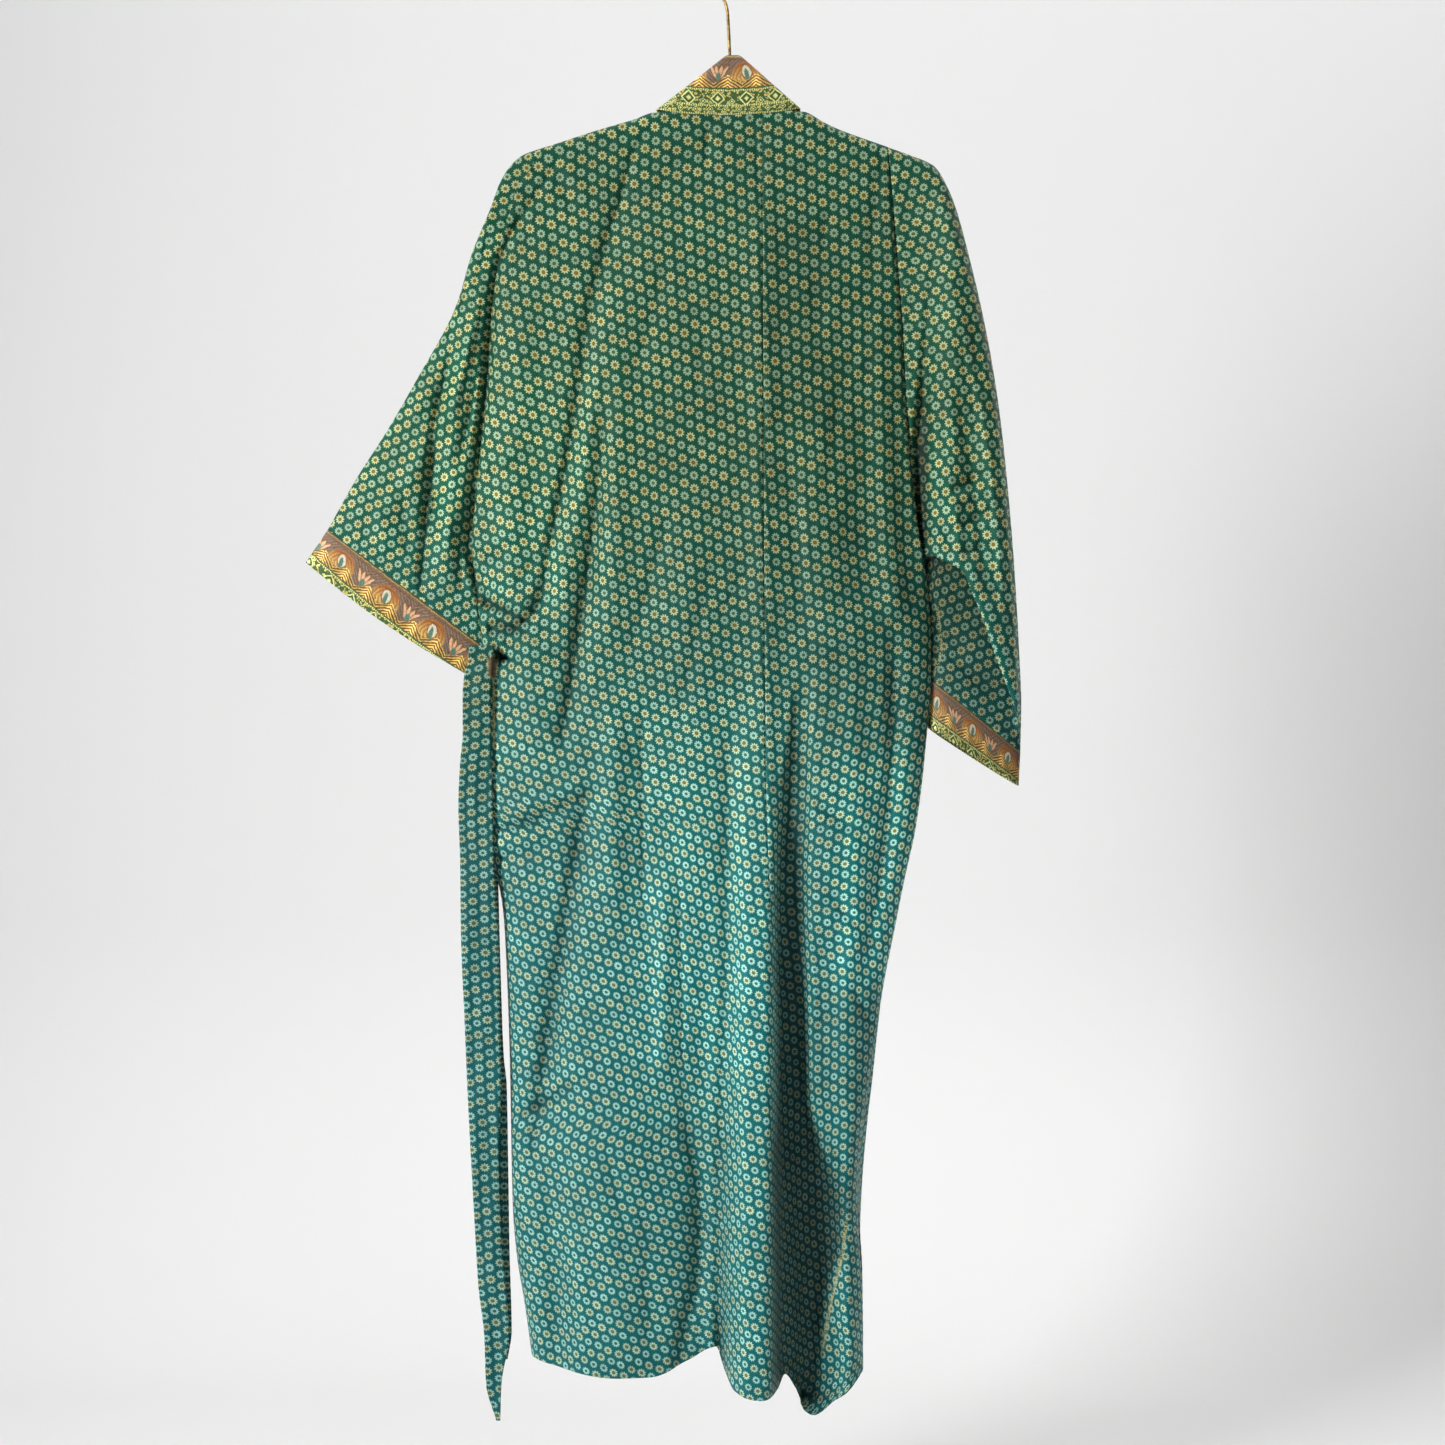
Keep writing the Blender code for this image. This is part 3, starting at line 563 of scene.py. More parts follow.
@dataclass(frozen=True)
class PrintedSilk:
    """Sari silk of plain weave, screen printed with small daisies.

    Fine filament threads give the eye a soft, slightly broken sheen. The print sinks into
    the threads, so its edges are a little ragged and no two flowers are quite the same.
    """

    name: str = "printed_plain_weave_silk"
    column_mm: float = 10.6
    repeat_mm: float = 12.8
    row_lean: float = 0.17
    petals: float = 10.0
    nudge_mm: float = 0.45
    flower_mm: tuple[float, float] = (4.0, 3.8)
    petal_mm: tuple[float, float] = (0.8, 0.6)
    eye_mm: tuple[float, float] = (2.15, 1.8)
    # Each upper and lower pair is one colour with painted light: lighter and bluer towards the hem.
    ground_upper: str = "#0B4D37"
    ground_lower: str = "#076062"
    gold_upper: str = "#C6D29A"
    gold_lower: str = "#BFE0C4"
    gold_eye_upper: str = "#7A641C"
    gold_eye_lower: str = "#66704A"
    pale_upper: str = "#A2C4A2"
    pale_lower: str = "#A6DFD4"
    pale_eye_upper: str = "#4E5E30"
    pale_eye_lower: str = "#356258"
    outline: str = "#0A3A2E"
    edge_gold: str = "#C2B878"
    edge_brown: str = "#6E5A4A"

    def make(self) -> bpy.types.Material:
        """Wire the print, the weave and the sheen.

        Returns:
            The silk's material.
        """
        wiring = Wiring(self.name)
        add, laid, shaded = wiring.add, wiring.laid, wiring.shaded
        place = wiring.flat_place(0.03, 1.0, 3.0)
        u, v = (add("SeparateXYZ", [place], out=axis) for axis in "XY")
        v = add("Math.MULTIPLY_ADD", [u, self.row_lean, v])
        column = add("Math.DIVIDE", [u, self.column_mm])
        i = add("Math.FLOOR", [column])
        dx = add("Math.SUBTRACT", [add("Math.FRACT", [column]), 0.5])
        odd = add("Math.FLOORED_MODULO", [i, 2.0])
        row = add("Math.DIVIDE", [v, self.repeat_mm])
        row = add("Math.MULTIPLY_ADD", [odd, -0.5, row])
        j = add("Math.FLOOR", [row])
        dy = add("Math.SUBTRACT", [add("Math.FRACT", [row]), 0.5])
        pale = add("Math.FLOORED_MODULO", [j, 2.0])
        chance = add("TexWhiteNoise", [add("CombineXYZ", [i, j, 0.0])], out="Color",
                     noise_dimensions="3D")
        chance_x, chance_y, chance_z = (add("SeparateXYZ", [chance], out=axis) for axis in "XYZ")
        nudge = add("MapRange", [chance_x, 0.0, 1.0, -self.nudge_mm, self.nudge_mm])
        dx = add("Math.MULTIPLY_ADD", [dx, self.column_mm, nudge])
        nudge = add("MapRange", [chance_y, 0.0, 1.0, -self.nudge_mm, self.nudge_mm])
        dy = add("Math.MULTIPLY_ADD", [dy, self.repeat_mm, nudge])
        # The rows lean, but each flower in them is round.
        dy = add("Math.MULTIPLY_ADD", [dx, -self.row_lean, dy])
        radius = add("VectorMath.LENGTH", [add("CombineXYZ", [dx, dy, 0.0])], out="Value")
        turn = add("Math.ARCTAN2", [dy, dx])
        turn = add("Math.MULTIPLY_ADD", [chance_z, 6.28, turn])
        petal = add("Math.COSINE", [add("Math.MULTIPLY", [turn, self.petals])])
        ragged = add("TexNoise", {"Vector": place, "Scale": 0.9, "Detail": 2.0})
        ragged = add("MapRange", [ragged, 0.0, 1.0, -0.7, 0.7])
        reach = add("Mix", [pale, None, *self.petal_mm])
        reach = add("Math.MULTIPLY_ADD", [petal, reach, ragged])
        size = add("Mix", [pale, None, *self.flower_mm])
        size = add("Math.MULTIPLY_ADD", [chance_y, 0.5, size])
        edge = add("Math.ADD", [size, reach])
        inside = add("Math.SUBTRACT", [edge, radius])
        flower = add("MapRange", [inside, -0.35, 0.45, 0.0, 1.0], interpolation_type="SMOOTHSTEP")
        rim = add("MapRange", [inside, -1.4, -0.2, 0.0, 0.35], interpolation_type="SMOOTHSTEP")
        eye_size = add("Math.MULTIPLY_ADD", [ragged, 0.5, add("Mix", [pale, None, *self.eye_mm])])
        eye = add("Math.SUBTRACT", [eye_size, radius])
        eye = add("MapRange", [eye, -0.4, 0.4, 0.0, 1.0], interpolation_type="SMOOTHSTEP")

        # Painted light: the colours shift from the upper to the lower ones down the robe.
        height = add("SeparateXYZ", [add("TexCoord", [], out="Object")], out="Z")
        low = add("MapRange", [height, -0.45, -1.05, 0.0, 1.0], interpolation_type="SMOOTHSTEP")

        def graded_by_painted_light(upper: str, lower: str) -> object:
            """Paint light into a colour, from the upper one at the robe's top to the lower one at
            its hem.
            """
            return laid(upper, (low, lower))

        mottle = add("TexNoise", {"Vector": place, "Scale": 0.55, "Detail": 4.0, "Roughness": 0.7})
        mottle = add("MapRange", [mottle, 0.25, 0.75, 0.72, 1.3])
        cloud = add("TexNoise", {"Vector": place, "Scale": 0.02, "Detail": 2.0})
        cloud = add("MapRange", [cloud, 0.25, 0.75, 0.88, 1.12])
        ground = shaded(graded_by_painted_light(self.ground_upper, self.ground_lower), mottle)
        petals = laid(graded_by_painted_light(self.gold_upper, self.gold_lower),
                      (pale, graded_by_painted_light(self.pale_upper, self.pale_lower)))
        parting = add("MapRange", [petal, -1.0, 0.3, 0.55, 1.0])
        heart = add("MapRange", [radius, 1.8, 4.2, 1.12, 0.86])
        eyes = laid(graded_by_painted_light(self.gold_eye_upper, self.gold_eye_lower),
                    (pale, graded_by_painted_light(self.pale_eye_upper, self.pale_eye_lower)))
        blossom = laid(shaded(petals, parting, heart), (eye, eyes))
        ink = add("MapRange", [chance_x, 0.0, 1.0, 0.78, 1.0])
        flower = add("Math.MULTIPLY", [flower, ink])
        edge_mark = add("Attribute", [], out="Fac", attribute_name=EDGE_LAYER)
        specks = add("TexNoise", {"Vector": place, "Scale": 0.5, "Detail": 1.0})
        specks = add("MapRange", [specks, 0.46, 0.54, 0.0, 0.9])
        gilt = add("MapRange", [edge_mark, 0.2, 0.8, 0.0, 1.0])
        gilt = add("Math.MULTIPLY", [gilt, specks])
        brown = add("MapRange", [edge_mark, 1.1, 1.6, 0.0, 0.9])
        colour = laid(ground, (rim, self.outline), (flower, blossom), (gilt, self.edge_gold),
                      (brown, self.edge_brown))
        # The sheet's attribute paints light and shade into the silk; cloud varies the tone at
        # random.
        colour = shaded(colour, wiring.painted_cloth_light(), cloud)

        crinkle = add("TexNoise", {"Vector": place, "Scale": 0.11, "Detail": 3.0, "Roughness": 0.55,
                                   "Distortion": 0.6})
        crinkled = add("Bump", {"Strength": 0.5, "Distance": 0.004, "Height": crinkle})
        # Such silk's threads lie 0.1 mm apart, too fine to show, and are drawn 1.1 mm apart.
        thread = add("TexWave", {"Vector": place, "Scale": 0.9, "Distortion": 1.5, "Detail": 2.0},
                     out="Fac")
        weave = add("Bump", {"Strength": 0.16, "Distance": 0.0006, "Height": thread,
                             "Normal": crinkled})
        return wiring.finish(Base_Color=colour, Roughness=0.52, Specular_IOR_Level=0.17,
                             Sheen_Weight=0.05, Sheen_Roughness=0.45, Normal=weave)


@dataclass(frozen=True)
class BorderCloth:
    """The sari's own border: brocade with gold thread beside a strip of rust and mauve.

    Zari thread, a fine gilt strip wound on silk, floats over the ground in the brocade, so
    it glints where it turns to the light. The map runs along the border and across it.
    """

    name: str = "zari_brocade_border"
    repeat_mm: float = 28.5
    fan_shift_mm: float = 4.75
    fan_half_mm: float = 13.0
    bead_mm: float = 2.2
    figure_mm: float = 43.6
    beyond_mm: float = 70.0
    ground: str = "#3A5F2E"
    zari: str = "#EEEC98"
    zari_deep: str = "#C4B452"
    fan_gold: str = "#F4CE74"
    fan_deep: str = "#7A4A1C"
    mauve: str = "#7A5C44"
    rust: str = "#B06A2C"
    peach: str = "#E3B48A"
    cream: str = "#DDD2B4"
    leaf: str = "#58806C"
    slate: str = "#8B8C86"

    def make(self) -> bpy.types.Material:
        """Wire the border's bands, its motifs and the glint of its thread.

        Returns:
            The border cloth's material.
        """
        wiring = Wiring(self.name)
        add, laid, shaded = wiring.add, wiring.laid, wiring.shaded
        place = wiring.flat_place(0.2, 2.0, 2.4)
        along, across = (add("SeparateXYZ", [place], out=axis) for axis in "XY")

        def band(low: float, high: float, soft: float) -> object:
            """Mask the strip of cloth between two places across the border."""
            rising = add("MapRange", [across, low - soft, low + soft, 0.0, 1.0])
            falling = add("MapRange", [across, high - soft, high + soft, 1.0, 0.0])
            return add("Math.MULTIPLY", [rising, falling])

        def repeated(shift: float, length: float) -> object:
            """Measure along the border from the middle of each repeat."""
            share = add("Math.DIVIDE", [add("Math.ADD", [along, shift]), length])
            share = add("Math.FRACT", [share])
            return add("Math.MULTIPLY", [add("Math.SUBTRACT", [share, 0.5]), length])

        def oval(here: object, middle: float, half_along: float, half_across: float,
                 lean: float) -> object:
            """Measure how far out a place lies in an oval, 1 at its edge."""
            high = add("Math.SUBTRACT", [across, middle])
            wide = add("Math.MULTIPLY_ADD", [high, lean, here])
            wide = add("Math.DIVIDE", [wide, half_along])
            high = add("Math.DIVIDE", [high, half_across])
            return add("VectorMath.LENGTH", [add("CombineXYZ", [wide, high, 0.0])], out="Value")

        def within(measure: object, edge: float, soft: float = 0.08) -> object:
            """Mask what lies inside an edge."""
            return add("MapRange", [measure, edge - soft, edge + soft, 1.0, 0.0])

        def ring(measure: object, edge: float, half: float) -> object:
            """Mask a ring round an edge."""
            off = add("Math.SUBTRACT", [measure, edge])
            off = add("Math.ABSOLUTE", [off])
            return add("MapRange", [off, 0.4 * half, half, 1.0, 0.0])

        fan_here = repeated(self.fan_shift_mm, self.repeat_mm)
        # Zari floats are about 0.3 mm wide, and are drawn 1.2 mm wide so that they show.
        speck = add("TexVoronoi", {"Vector": place, "Scale": 0.42})
        speck = add("MapRange", [speck, 0.4, 0.5, 1.0, 0.0])
        fleck = add("TexNoise", {"Vector": place, "Scale": 0.5, "Detail": 3.0})
        fleck = add("MapRange", [fleck, 0.4, 0.6, 0.0, 1.0])
        richer = add("Math.MULTIPLY", [add("MapRange", [across, 15.0, 18.0, 0.0, 1.0]), 0.45])
        gold = laid(self.zari_deep, (fleck, self.zari), (richer, self.fan_gold))

        def lozenge(here: object, middle: float, half: float) -> object:
            """Measure how far out a place lies in a lozenge, 1 at its edge."""
            wide = add("Math.ABSOLUTE", [here])
            high = add("Math.ABSOLUTE", [add("Math.SUBTRACT", [across, middle])])
            return add("Math.DIVIDE", [add("Math.ADD", [wide, high]), half])

        def stripes(measure: object, rate: float, low: float, high: float, full: float) -> object:
            """Mask stripes that come again as a measure grows."""
            share = add("Math.FRACT", [add("Math.MULTIPLY", [measure, rate])])
            return add("MapRange", [share, low, high, 0.0, full])

        fan_away = add("Math.ABSOLUTE", [fan_here])
        flame = add("Math.MULTIPLY_ADD", [fan_away, 0.7, across])
        fan_cloth = laid(self.fan_gold, (stripes(flame, 0.3, 0.4, 0.6, 1.0), self.fan_deep))
        fan_cloth = shaded(fan_cloth, add("MapRange", [fan_away, 1.5, 6.5, 1.45, 0.72]))

        brocade = laid(self.ground, (speck, gold))
        repeat = self.repeat_mm
        for shift, length, middle, half in ((0.5 * repeat, repeat, 16.2, 7.6),
                                            (0.0, repeat, 13.4, 3.4),
                                            (0.0, 0.5 * repeat, 5.0, 3.2)):
            diamond = lozenge(repeated(shift, length), middle, half)
            brocade = laid(brocade, (within(diamond, 1.08), self.ground),
                           (ring(diamond, 0.88, 0.17), self.zari),
                           (within(diamond, 0.34), self.zari))
        beads = add("Math.LESS_THAN", [add("Math.ABSOLUTE", [repeated(0.0, self.bead_mm)]), 0.7])
        edge = laid(self.ground, (beads, self.zari))
        brocade = laid(brocade, (band(8.3, 9.9, 0.2), edge), (band(24.2, 25.6, 0.2), edge))

        arch_here, tulip_here = repeated(0.0, 2.0 * repeat), repeated(repeat, 2.0 * repeat)
        fan_top = add("Math.DIVIDE", [fan_away, self.fan_half_mm])
        fan_top = add("MapRange", [fan_top, 0.0, 1.0, 40.0, 31.0])
        fan_top = add("Math.MULTIPLY_ADD", [fleck, 3.0, fan_top])
        fan = add("MapRange", [add("Math.SUBTRACT", [fan_top, across]), -0.6, 0.8, 0.0, 1.0])

        cove = add("CombineXYZ", [arch_here, add("Math.SUBTRACT", [across, 38.5]), 0.0])
        cove = add("VectorMath.LENGTH", [cove], out="Value")
        rust_mask = add("MapRange", [cove, 14.5, 18.0, 1.0, 0.0])
        glow = add("MapRange", [across, 36.0, 50.0, 0.6, 0.0])
        veins = add("Math.MULTIPLY", [stripes(cove, 0.28, 0.5, 0.75, 0.6), rust_mask])
        lines = add("Math.SUBTRACT", [add("Math.ABSOLUTE", [tulip_here]), across])
        calm = add("Math.SUBTRACT", [1.0, rust_mask])
        lines = add("Math.MULTIPLY", [stripes(lines, 0.24, 0.6, 0.85, 0.8), calm])
        ends = add("Math.MULTIPLY", [add("Math.GREATER_THAN", [across, 56.5]), 0.6])
        strip = laid(self.mauve, (rust_mask, laid(self.rust, (glow, self.fan_gold))),
                     (veins, self.fan_deep), (lines, self.slate), (ends, self.mauve),
                     (fan, fan_cloth))
        # Each bud is an arch that opens towards the edge, with a leaf in it.
        bud = oval(arch_here, self.figure_mm, 5.2, 7.0, 0.2)
        leaf = oval(arch_here, 41.0, 2.3, 6.0, 0.2)
        figures = [(within(bud, 1.12, 0.1), self.fan_deep), (within(bud, 0.94, 0.1), self.cream),
                   (within(leaf, 1.0, 0.2), self.leaf)]
        for shift, lean in ((-5.6, -0.55), (-1.9, -0.2), (1.9, 0.2), (5.6, 0.55)):
            petal = oval(add("Math.ADD", [tulip_here, shift]), self.figure_mm, 1.9, 7.2, lean)
            figures += [(within(petal, 1.25, 0.14), self.fan_deep),
                        (within(petal, 0.92, 0.14), self.peach)]
        heart = oval(tulip_here, 39.0, 2.6, 4.2, 0.0)
        strip = laid(strip, *figures, (within(heart, 1.0, 0.2), self.leaf))

        end = self.beyond_mm
        colour = laid(edge, (band(1.3, end, 0.5), brocade), (band(26.0, end, 0.5), self.ground),
                      (band(27.4, end, 0.5), fan_cloth), (band(32.0, end, 0.5), strip),
                      (band(56.4, 57.2, 0.3), self.fan_deep),
                      (band(59.8, 60.6, 0.3), self.zari_deep),
                      (band(60.9, end, 0.5), self.mauve))
        mottle = add("TexNoise", {"Vector": place, "Scale": 0.6, "Detail": 3.0})
        mottle = add("MapRange", [mottle, 0.25, 0.75, 0.72, 1.25])
        # mottle varies the tone at random; the sheet's attribute paints shade, as on the right
        # cuff.
        colour = shaded(colour, mottle, wiring.painted_cloth_light())

        woven = add("Math.MULTIPLY", [speck, fleck])
        glint = add("Math.MULTIPLY", [woven, add("MapRange", [across, 30.0, 42.0, 1.0, 0.2])])
        metal = add("MapRange", [glint, 0.0, 1.0, 0.05, 0.75])
        rough = add("MapRange", [glint, 0.0, 1.0, 0.55, 0.34])
        floats = add("Bump", {"Strength": 0.5, "Distance": 0.0012, "Height": speck})
        return wiring.finish(Base_Color=colour, Roughness=rough, Metallic=metal,
                             Specular_IOR_Level=0.4, Sheen_Weight=0.05, Normal=floats)


@dataclass(frozen=True)
class CottonThread:
    """Mercerised sewing cotton, twisted from three strands, matt with a faint shine."""

    name: str = "twisted_cotton_thread"
    dye: str = "#24503C"

    def make(self) -> bpy.types.Material:
        """Wire the thread's dye and its hairs."""
        wiring = Wiring(self.name)
        place = wiring.add("TexCoord", [], out="Object")
        hairs = wiring.add("TexNoise", {"Vector": place, "Scale": 2600.0, "Detail": 2.0})
        shade = wiring.add("MapRange", [hairs, 0.3, 0.7, 0.75, 1.2])
        colour = wiring.shaded(linear(self.dye)[:3], shade)
        rough = wiring.add("Bump", {"Strength": 0.4, "Distance": 0.0003, "Height": hairs})
        return wiring.finish(Base_Color=colour, Roughness=0.72, Normal=rough)


@dataclass(frozen=True)
class VarnishedBeech:
    """Steamed beech, turned and sanded, under a thin satin varnish.

    Beech shows a pale pinkish brown with short dark flecks along the grain.
    """

    name: str = "varnished_beech"
    pale: str = "#CFA676"
    dark: str = "#A87B4C"
    fleck: str = "#7C5633"

    def make(self) -> bpy.types.Material:
        """Wire the grain, which runs along the arms, and its flecks."""
        wiring = Wiring(self.name)
        add = wiring.add
        place = add("TexCoord", [], out="Object")
        # Beech's growth rings lie 2 to 4 mm apart, and its flecks are 1 to 3 mm long.
        drawn = add("Mapping", {"Vector": place, "Scale": (18.0, 330.0, 330.0)})
        grain = add("TexNoise", {"Vector": drawn, "Scale": 1.0, "Detail": 4.0})
        flecked = add("Mapping", {"Vector": place, "Scale": (400.0, 1500.0, 1500.0)})
        fleck = add("TexVoronoi", {"Vector": flecked, "Scale": 1.0})
        fleck = add("MapRange", [fleck, 0.05, 0.25, 0.5, 0.0])
        grain_mask = add("MapRange", [grain, 0.35, 0.65, 0.0, 1.0])
        colour = wiring.laid(self.pale, (grain_mask, self.dark), (fleck, self.fleck))
        pores = add("Bump", {"Strength": 0.15, "Distance": 0.0004, "Height": grain})
        return wiring.finish(Base_Color=colour, Roughness=0.38, Coat_Weight=0.25,
                             Coat_Roughness=0.2, Normal=pores)


@dataclass(frozen=True)
class BrassedWire:
    """Drawn steel wire with a thin brass plating, dulled by handling."""

    name: str = "brassed_drawn_steel_wire"
    bright: str = "#B59A63"
    dull: str = "#7A6138"

    def make(self) -> bpy.types.Material:
        """Wire the plating's tarnish and the marks of drawing."""
        wiring = Wiring(self.name)
        add = wiring.add
        place = add("TexCoord", [], out="Object")
        tarnish = add("TexNoise", {"Vector": place, "Scale": 260.0, "Detail": 3.0})
        worn = add("MapRange", [tarnish, 0.4, 0.62, 0.0, 1.0])
        colour = wiring.laid(self.bright, (worn, self.dull))
        rough = add("MapRange", [tarnish, 0.3, 0.7, 0.26, 0.46])
        drawn = add("Mapping", {"Vector": place, "Scale": (6000.0, 6000.0, 200.0)})
        marks = add("TexNoise", {"Vector": drawn, "Scale": 1.0})
        marks = add("Bump", {"Strength": 0.12, "Distance": 0.0001, "Height": marks})
        return wiring.finish(Base_Color=colour, Metallic=1.0, Roughness=rough, Normal=marks)


@dataclass(frozen=True)
class PaperSweep:
    """Seamless studio paper, matt and very pale grey, with the faintest tooth."""

    name: str = "matt_seamless_paper"
    shade: str = "#ECECEC"

    def make(self) -> bpy.types.Material:
        """Wire the paper's tooth, and leave its back unseen so that it hides no view."""
        wiring = Wiring(self.name)
        behind = wiring.add("NewGeometry", [], out="Backfacing")
        shown = wiring.add("Math.SUBTRACT", [1.0, behind])
        place = wiring.add("TexCoord", [], out="Object")
        tooth = wiring.add("TexNoise", {"Vector": place, "Scale": 400.0, "Detail": 2.0})
        tooth = wiring.add("Bump", {"Strength": 0.03, "Distance": 0.0005, "Height": tooth})
        return wiring.finish(Base_Color=linear(self.shade), Roughness=0.9,
                             Specular_IOR_Level=0.1, Normal=tooth, Alpha=shown)


LEFT_ARMHOLE_VALLEY = Pleat((
    (196, -166, 3.5, 4, 0), (232, -186, 3.5, 4, -2), (275, -214, 4, 5, -4.5),
    (315, -231, 4.5, 5.5, -7), (383, -239, 5, 6, -9), (447, -245, 5, 6, -9.5),
    (535, -257, 5.5, 6, -9.5), (590, -260.5, 5.5, 6, -9.5), (615, -255, 5, 6, -9),
    (632, -249.5, 4.5, 5.5, -9), (647, -246, 4, 5, -8), (662, -240, 4, 4, 0)
))
RIGHT_ARMHOLE_SEAM = Pleat((
    (200, 158, 2.2, 2, 0), (225, 160.5, 2.2, 2, -2), (335, 169, 2.2, 2, -2.4),
    (455, 176.5, 2.2, 2, -2.6), (560, 187, 2.4, 2.4, -2.4), (600, 191, 3, 3, 0)
))
LEFT_PUCKERS = creases_of(
    (-203, 214, -178, 226, 3, -2.2), (-206, 226, -176, 236, 3.2, 1.8),
    (-212, 240, -184, 247, 3.4, -2.6), (-222, 254, -186, 262, 3.2, 2),
    (-226, 270, -196, 273, 3.2, -2.4), (-232, 286, -198, 288, 3.4, 1.8),
    (-234, 300, -206, 302, 3.4, -2), (-178, 214, -152, 262, 3.6, -2.2),
    (-166, 207, -140, 250, 4.2, 1.8), (-236, 336, -212, 340, 3.4, -1.6)
)
BACK_TROUGHS = (
    Pleat(((168, -75, 4, 4, 0), (203, -97, 4, 5, -2), (243, -107, 4, 5, -3), (283, -121, 5, 8, -3),
        (335, -134, 6, 10, -3.8), (383, -143, 7, 11, -4.4), (435, -149, 7, 12, -4.8),
        (479, -156, 6, 10, -5.4), (519, -163, 5, 8, -6), (559, -171, 5, 7, -6.5),
        (595, -178, 6, 8, -7), (631, -184, 6, 9, -7), (652, -191, 6, 9, -8), (664, -200, 5, 7, -9),
        (672, -212, 4, 5, -6), (680, -222, 4, 5, 0))),
    Pleat(((300, -118, 12, 14, 0), (400, -130, 12, 12, 4), (480, -140, 10, 8, 6),
        (560, -150, 10, 8, 6), (620, -160, 12, 10, 5), (700, -170, 12, 9, 0))),
    Pleat(((455, -121, 4, 5, 0), (487, -125, 5, 6, -3), (551, -131, 5, 8, -6),
        (615, -139, 6, 9, -8), (695, -151, 7, 10, -8.5), (760, -160, 7, 10, -7),
        (808, -170, 7, 9, 0))),
    Pleat(((815, -138, 7, 8, 0), (860, -144, 8, 10, -5), (925, -154, 9, 12, -7.5),
        (995, -164, 10, 12, -8), (1075, -176, 10, 12, -8), (1135, -186, 9, 10, -6),
        (1195, -193, 8, 9, -4), (1260, -196, 8, 9, 0))),
    Pleat(((735, -113, 14, 14, 0), (800, -114, 15, 14, 6), (900, -115, 15, 14, 7),
        (990, -118, 14, 14, 0))),
    Pleat(((730, -87, 3, 4, 0), (800, -86, 3, 5, -2.5), (900, -85, 3, 5, -2.5),
        (1010, -84, 3, 4, 0))),
    Pleat(((880, -50, 1.8, 2.4, 0), (945, -49, 1.8, 2.4, -1.6), (1010, -47, 1.8, 2.4, -2),
        (1100, -46, 1.8, 2.4, -1.6), (1150, -46, 1.8, 2.4, 0))),
    Pleat(((905, -64, 9, 9, 0), (960, -64, 9, 9, 5), (1080, -65, 9, 10, 5), (1135, -66, 9, 9, 0))),
    Pleat(((755, 0, 7, 7, 0), (800, -1, 7, 8, -3), (965, 0, 8, 8, -5), (1125, -4, 8, 8, -6),
        (1235, -8, 8, 8, -7), (1330, -9, 7, 8, -9), (1385, -8, 6, 8, -13), (1440, -6, 5, 8, -13))),
    Pleat(((1120, -48, 7, 8, 0), (1160, -43, 7, 9, -3), (1235, -28, 8, 9, -5),
        (1310, -30, 8, 9, -6), (1375, -46, 7, 8, -5), (1440, -54, 6, 7, -4))),
    Pleat(((755, 29, 17, 15, 0), (860, 29, 18, 16, 4), (1005, 28, 18, 19, 7), (1200, 28, 18, 20, 8),
        (1440, 28, 18, 20, 8)), power=6),
    Pleat(((715, 74, 8, 8, 0), (770, 71, 10, 9, -6), (835, 67, 14, 12, -11), (925, 64, 17, 14, -15),
        (1010, 62, 18, 16, -17), (1135, 62, 18, 17, -19), (1200, 66, 21, 28, -18),
        (1260, 75, 29, 34, -16), (1340, 68, 23, 28, -16), (1440, 64, 20, 24, -16)), power=5),
    Pleat(((160, 33, 2, 2, -0.5), (300, 33, 2, 2, -0.9), (800, 36, 2, 2, -0.7),
        (1440, 50, 2, 2, -0.5))),
    Pleat(((165, 24, 5, 4, 0), (185, 26, 5, 4, -2), (215, 29, 5, 3.5, -2), (250, 31, 4, 3, 0))),
    Pleat(((165, -21, 4, 4, 0), (180, -21, 4, 4, -3.5), (200, -22, 4, 4, -2.5),
        (222, -23, 4, 4, 0))),
    Pleat(((180, 155, 5, 5, 0), (205, 152, 5, 6, -1.6), (267, 143, 5, 7, -1.4),
        (340, 141, 6, 8, -1.2), (415, 141, 7, 9, -1.2), (480, 146, 8, 9, 0))),
    Pleat(((640, 122, 10, 12, 0), (740, 122, 12, 14, 4), (900, 126, 12, 14, 5),
        (1100, 112, 12, 14, 3), (1200, 108, 12, 14, 0))),
    Pleat(((660, 160, 7, 9, 0), (740, 164, 8, 9, -6), (860, 158, 8, 9, -6), (960, 142, 7, 8, -4),
        (1040, 130, 7, 8, 0)))
)
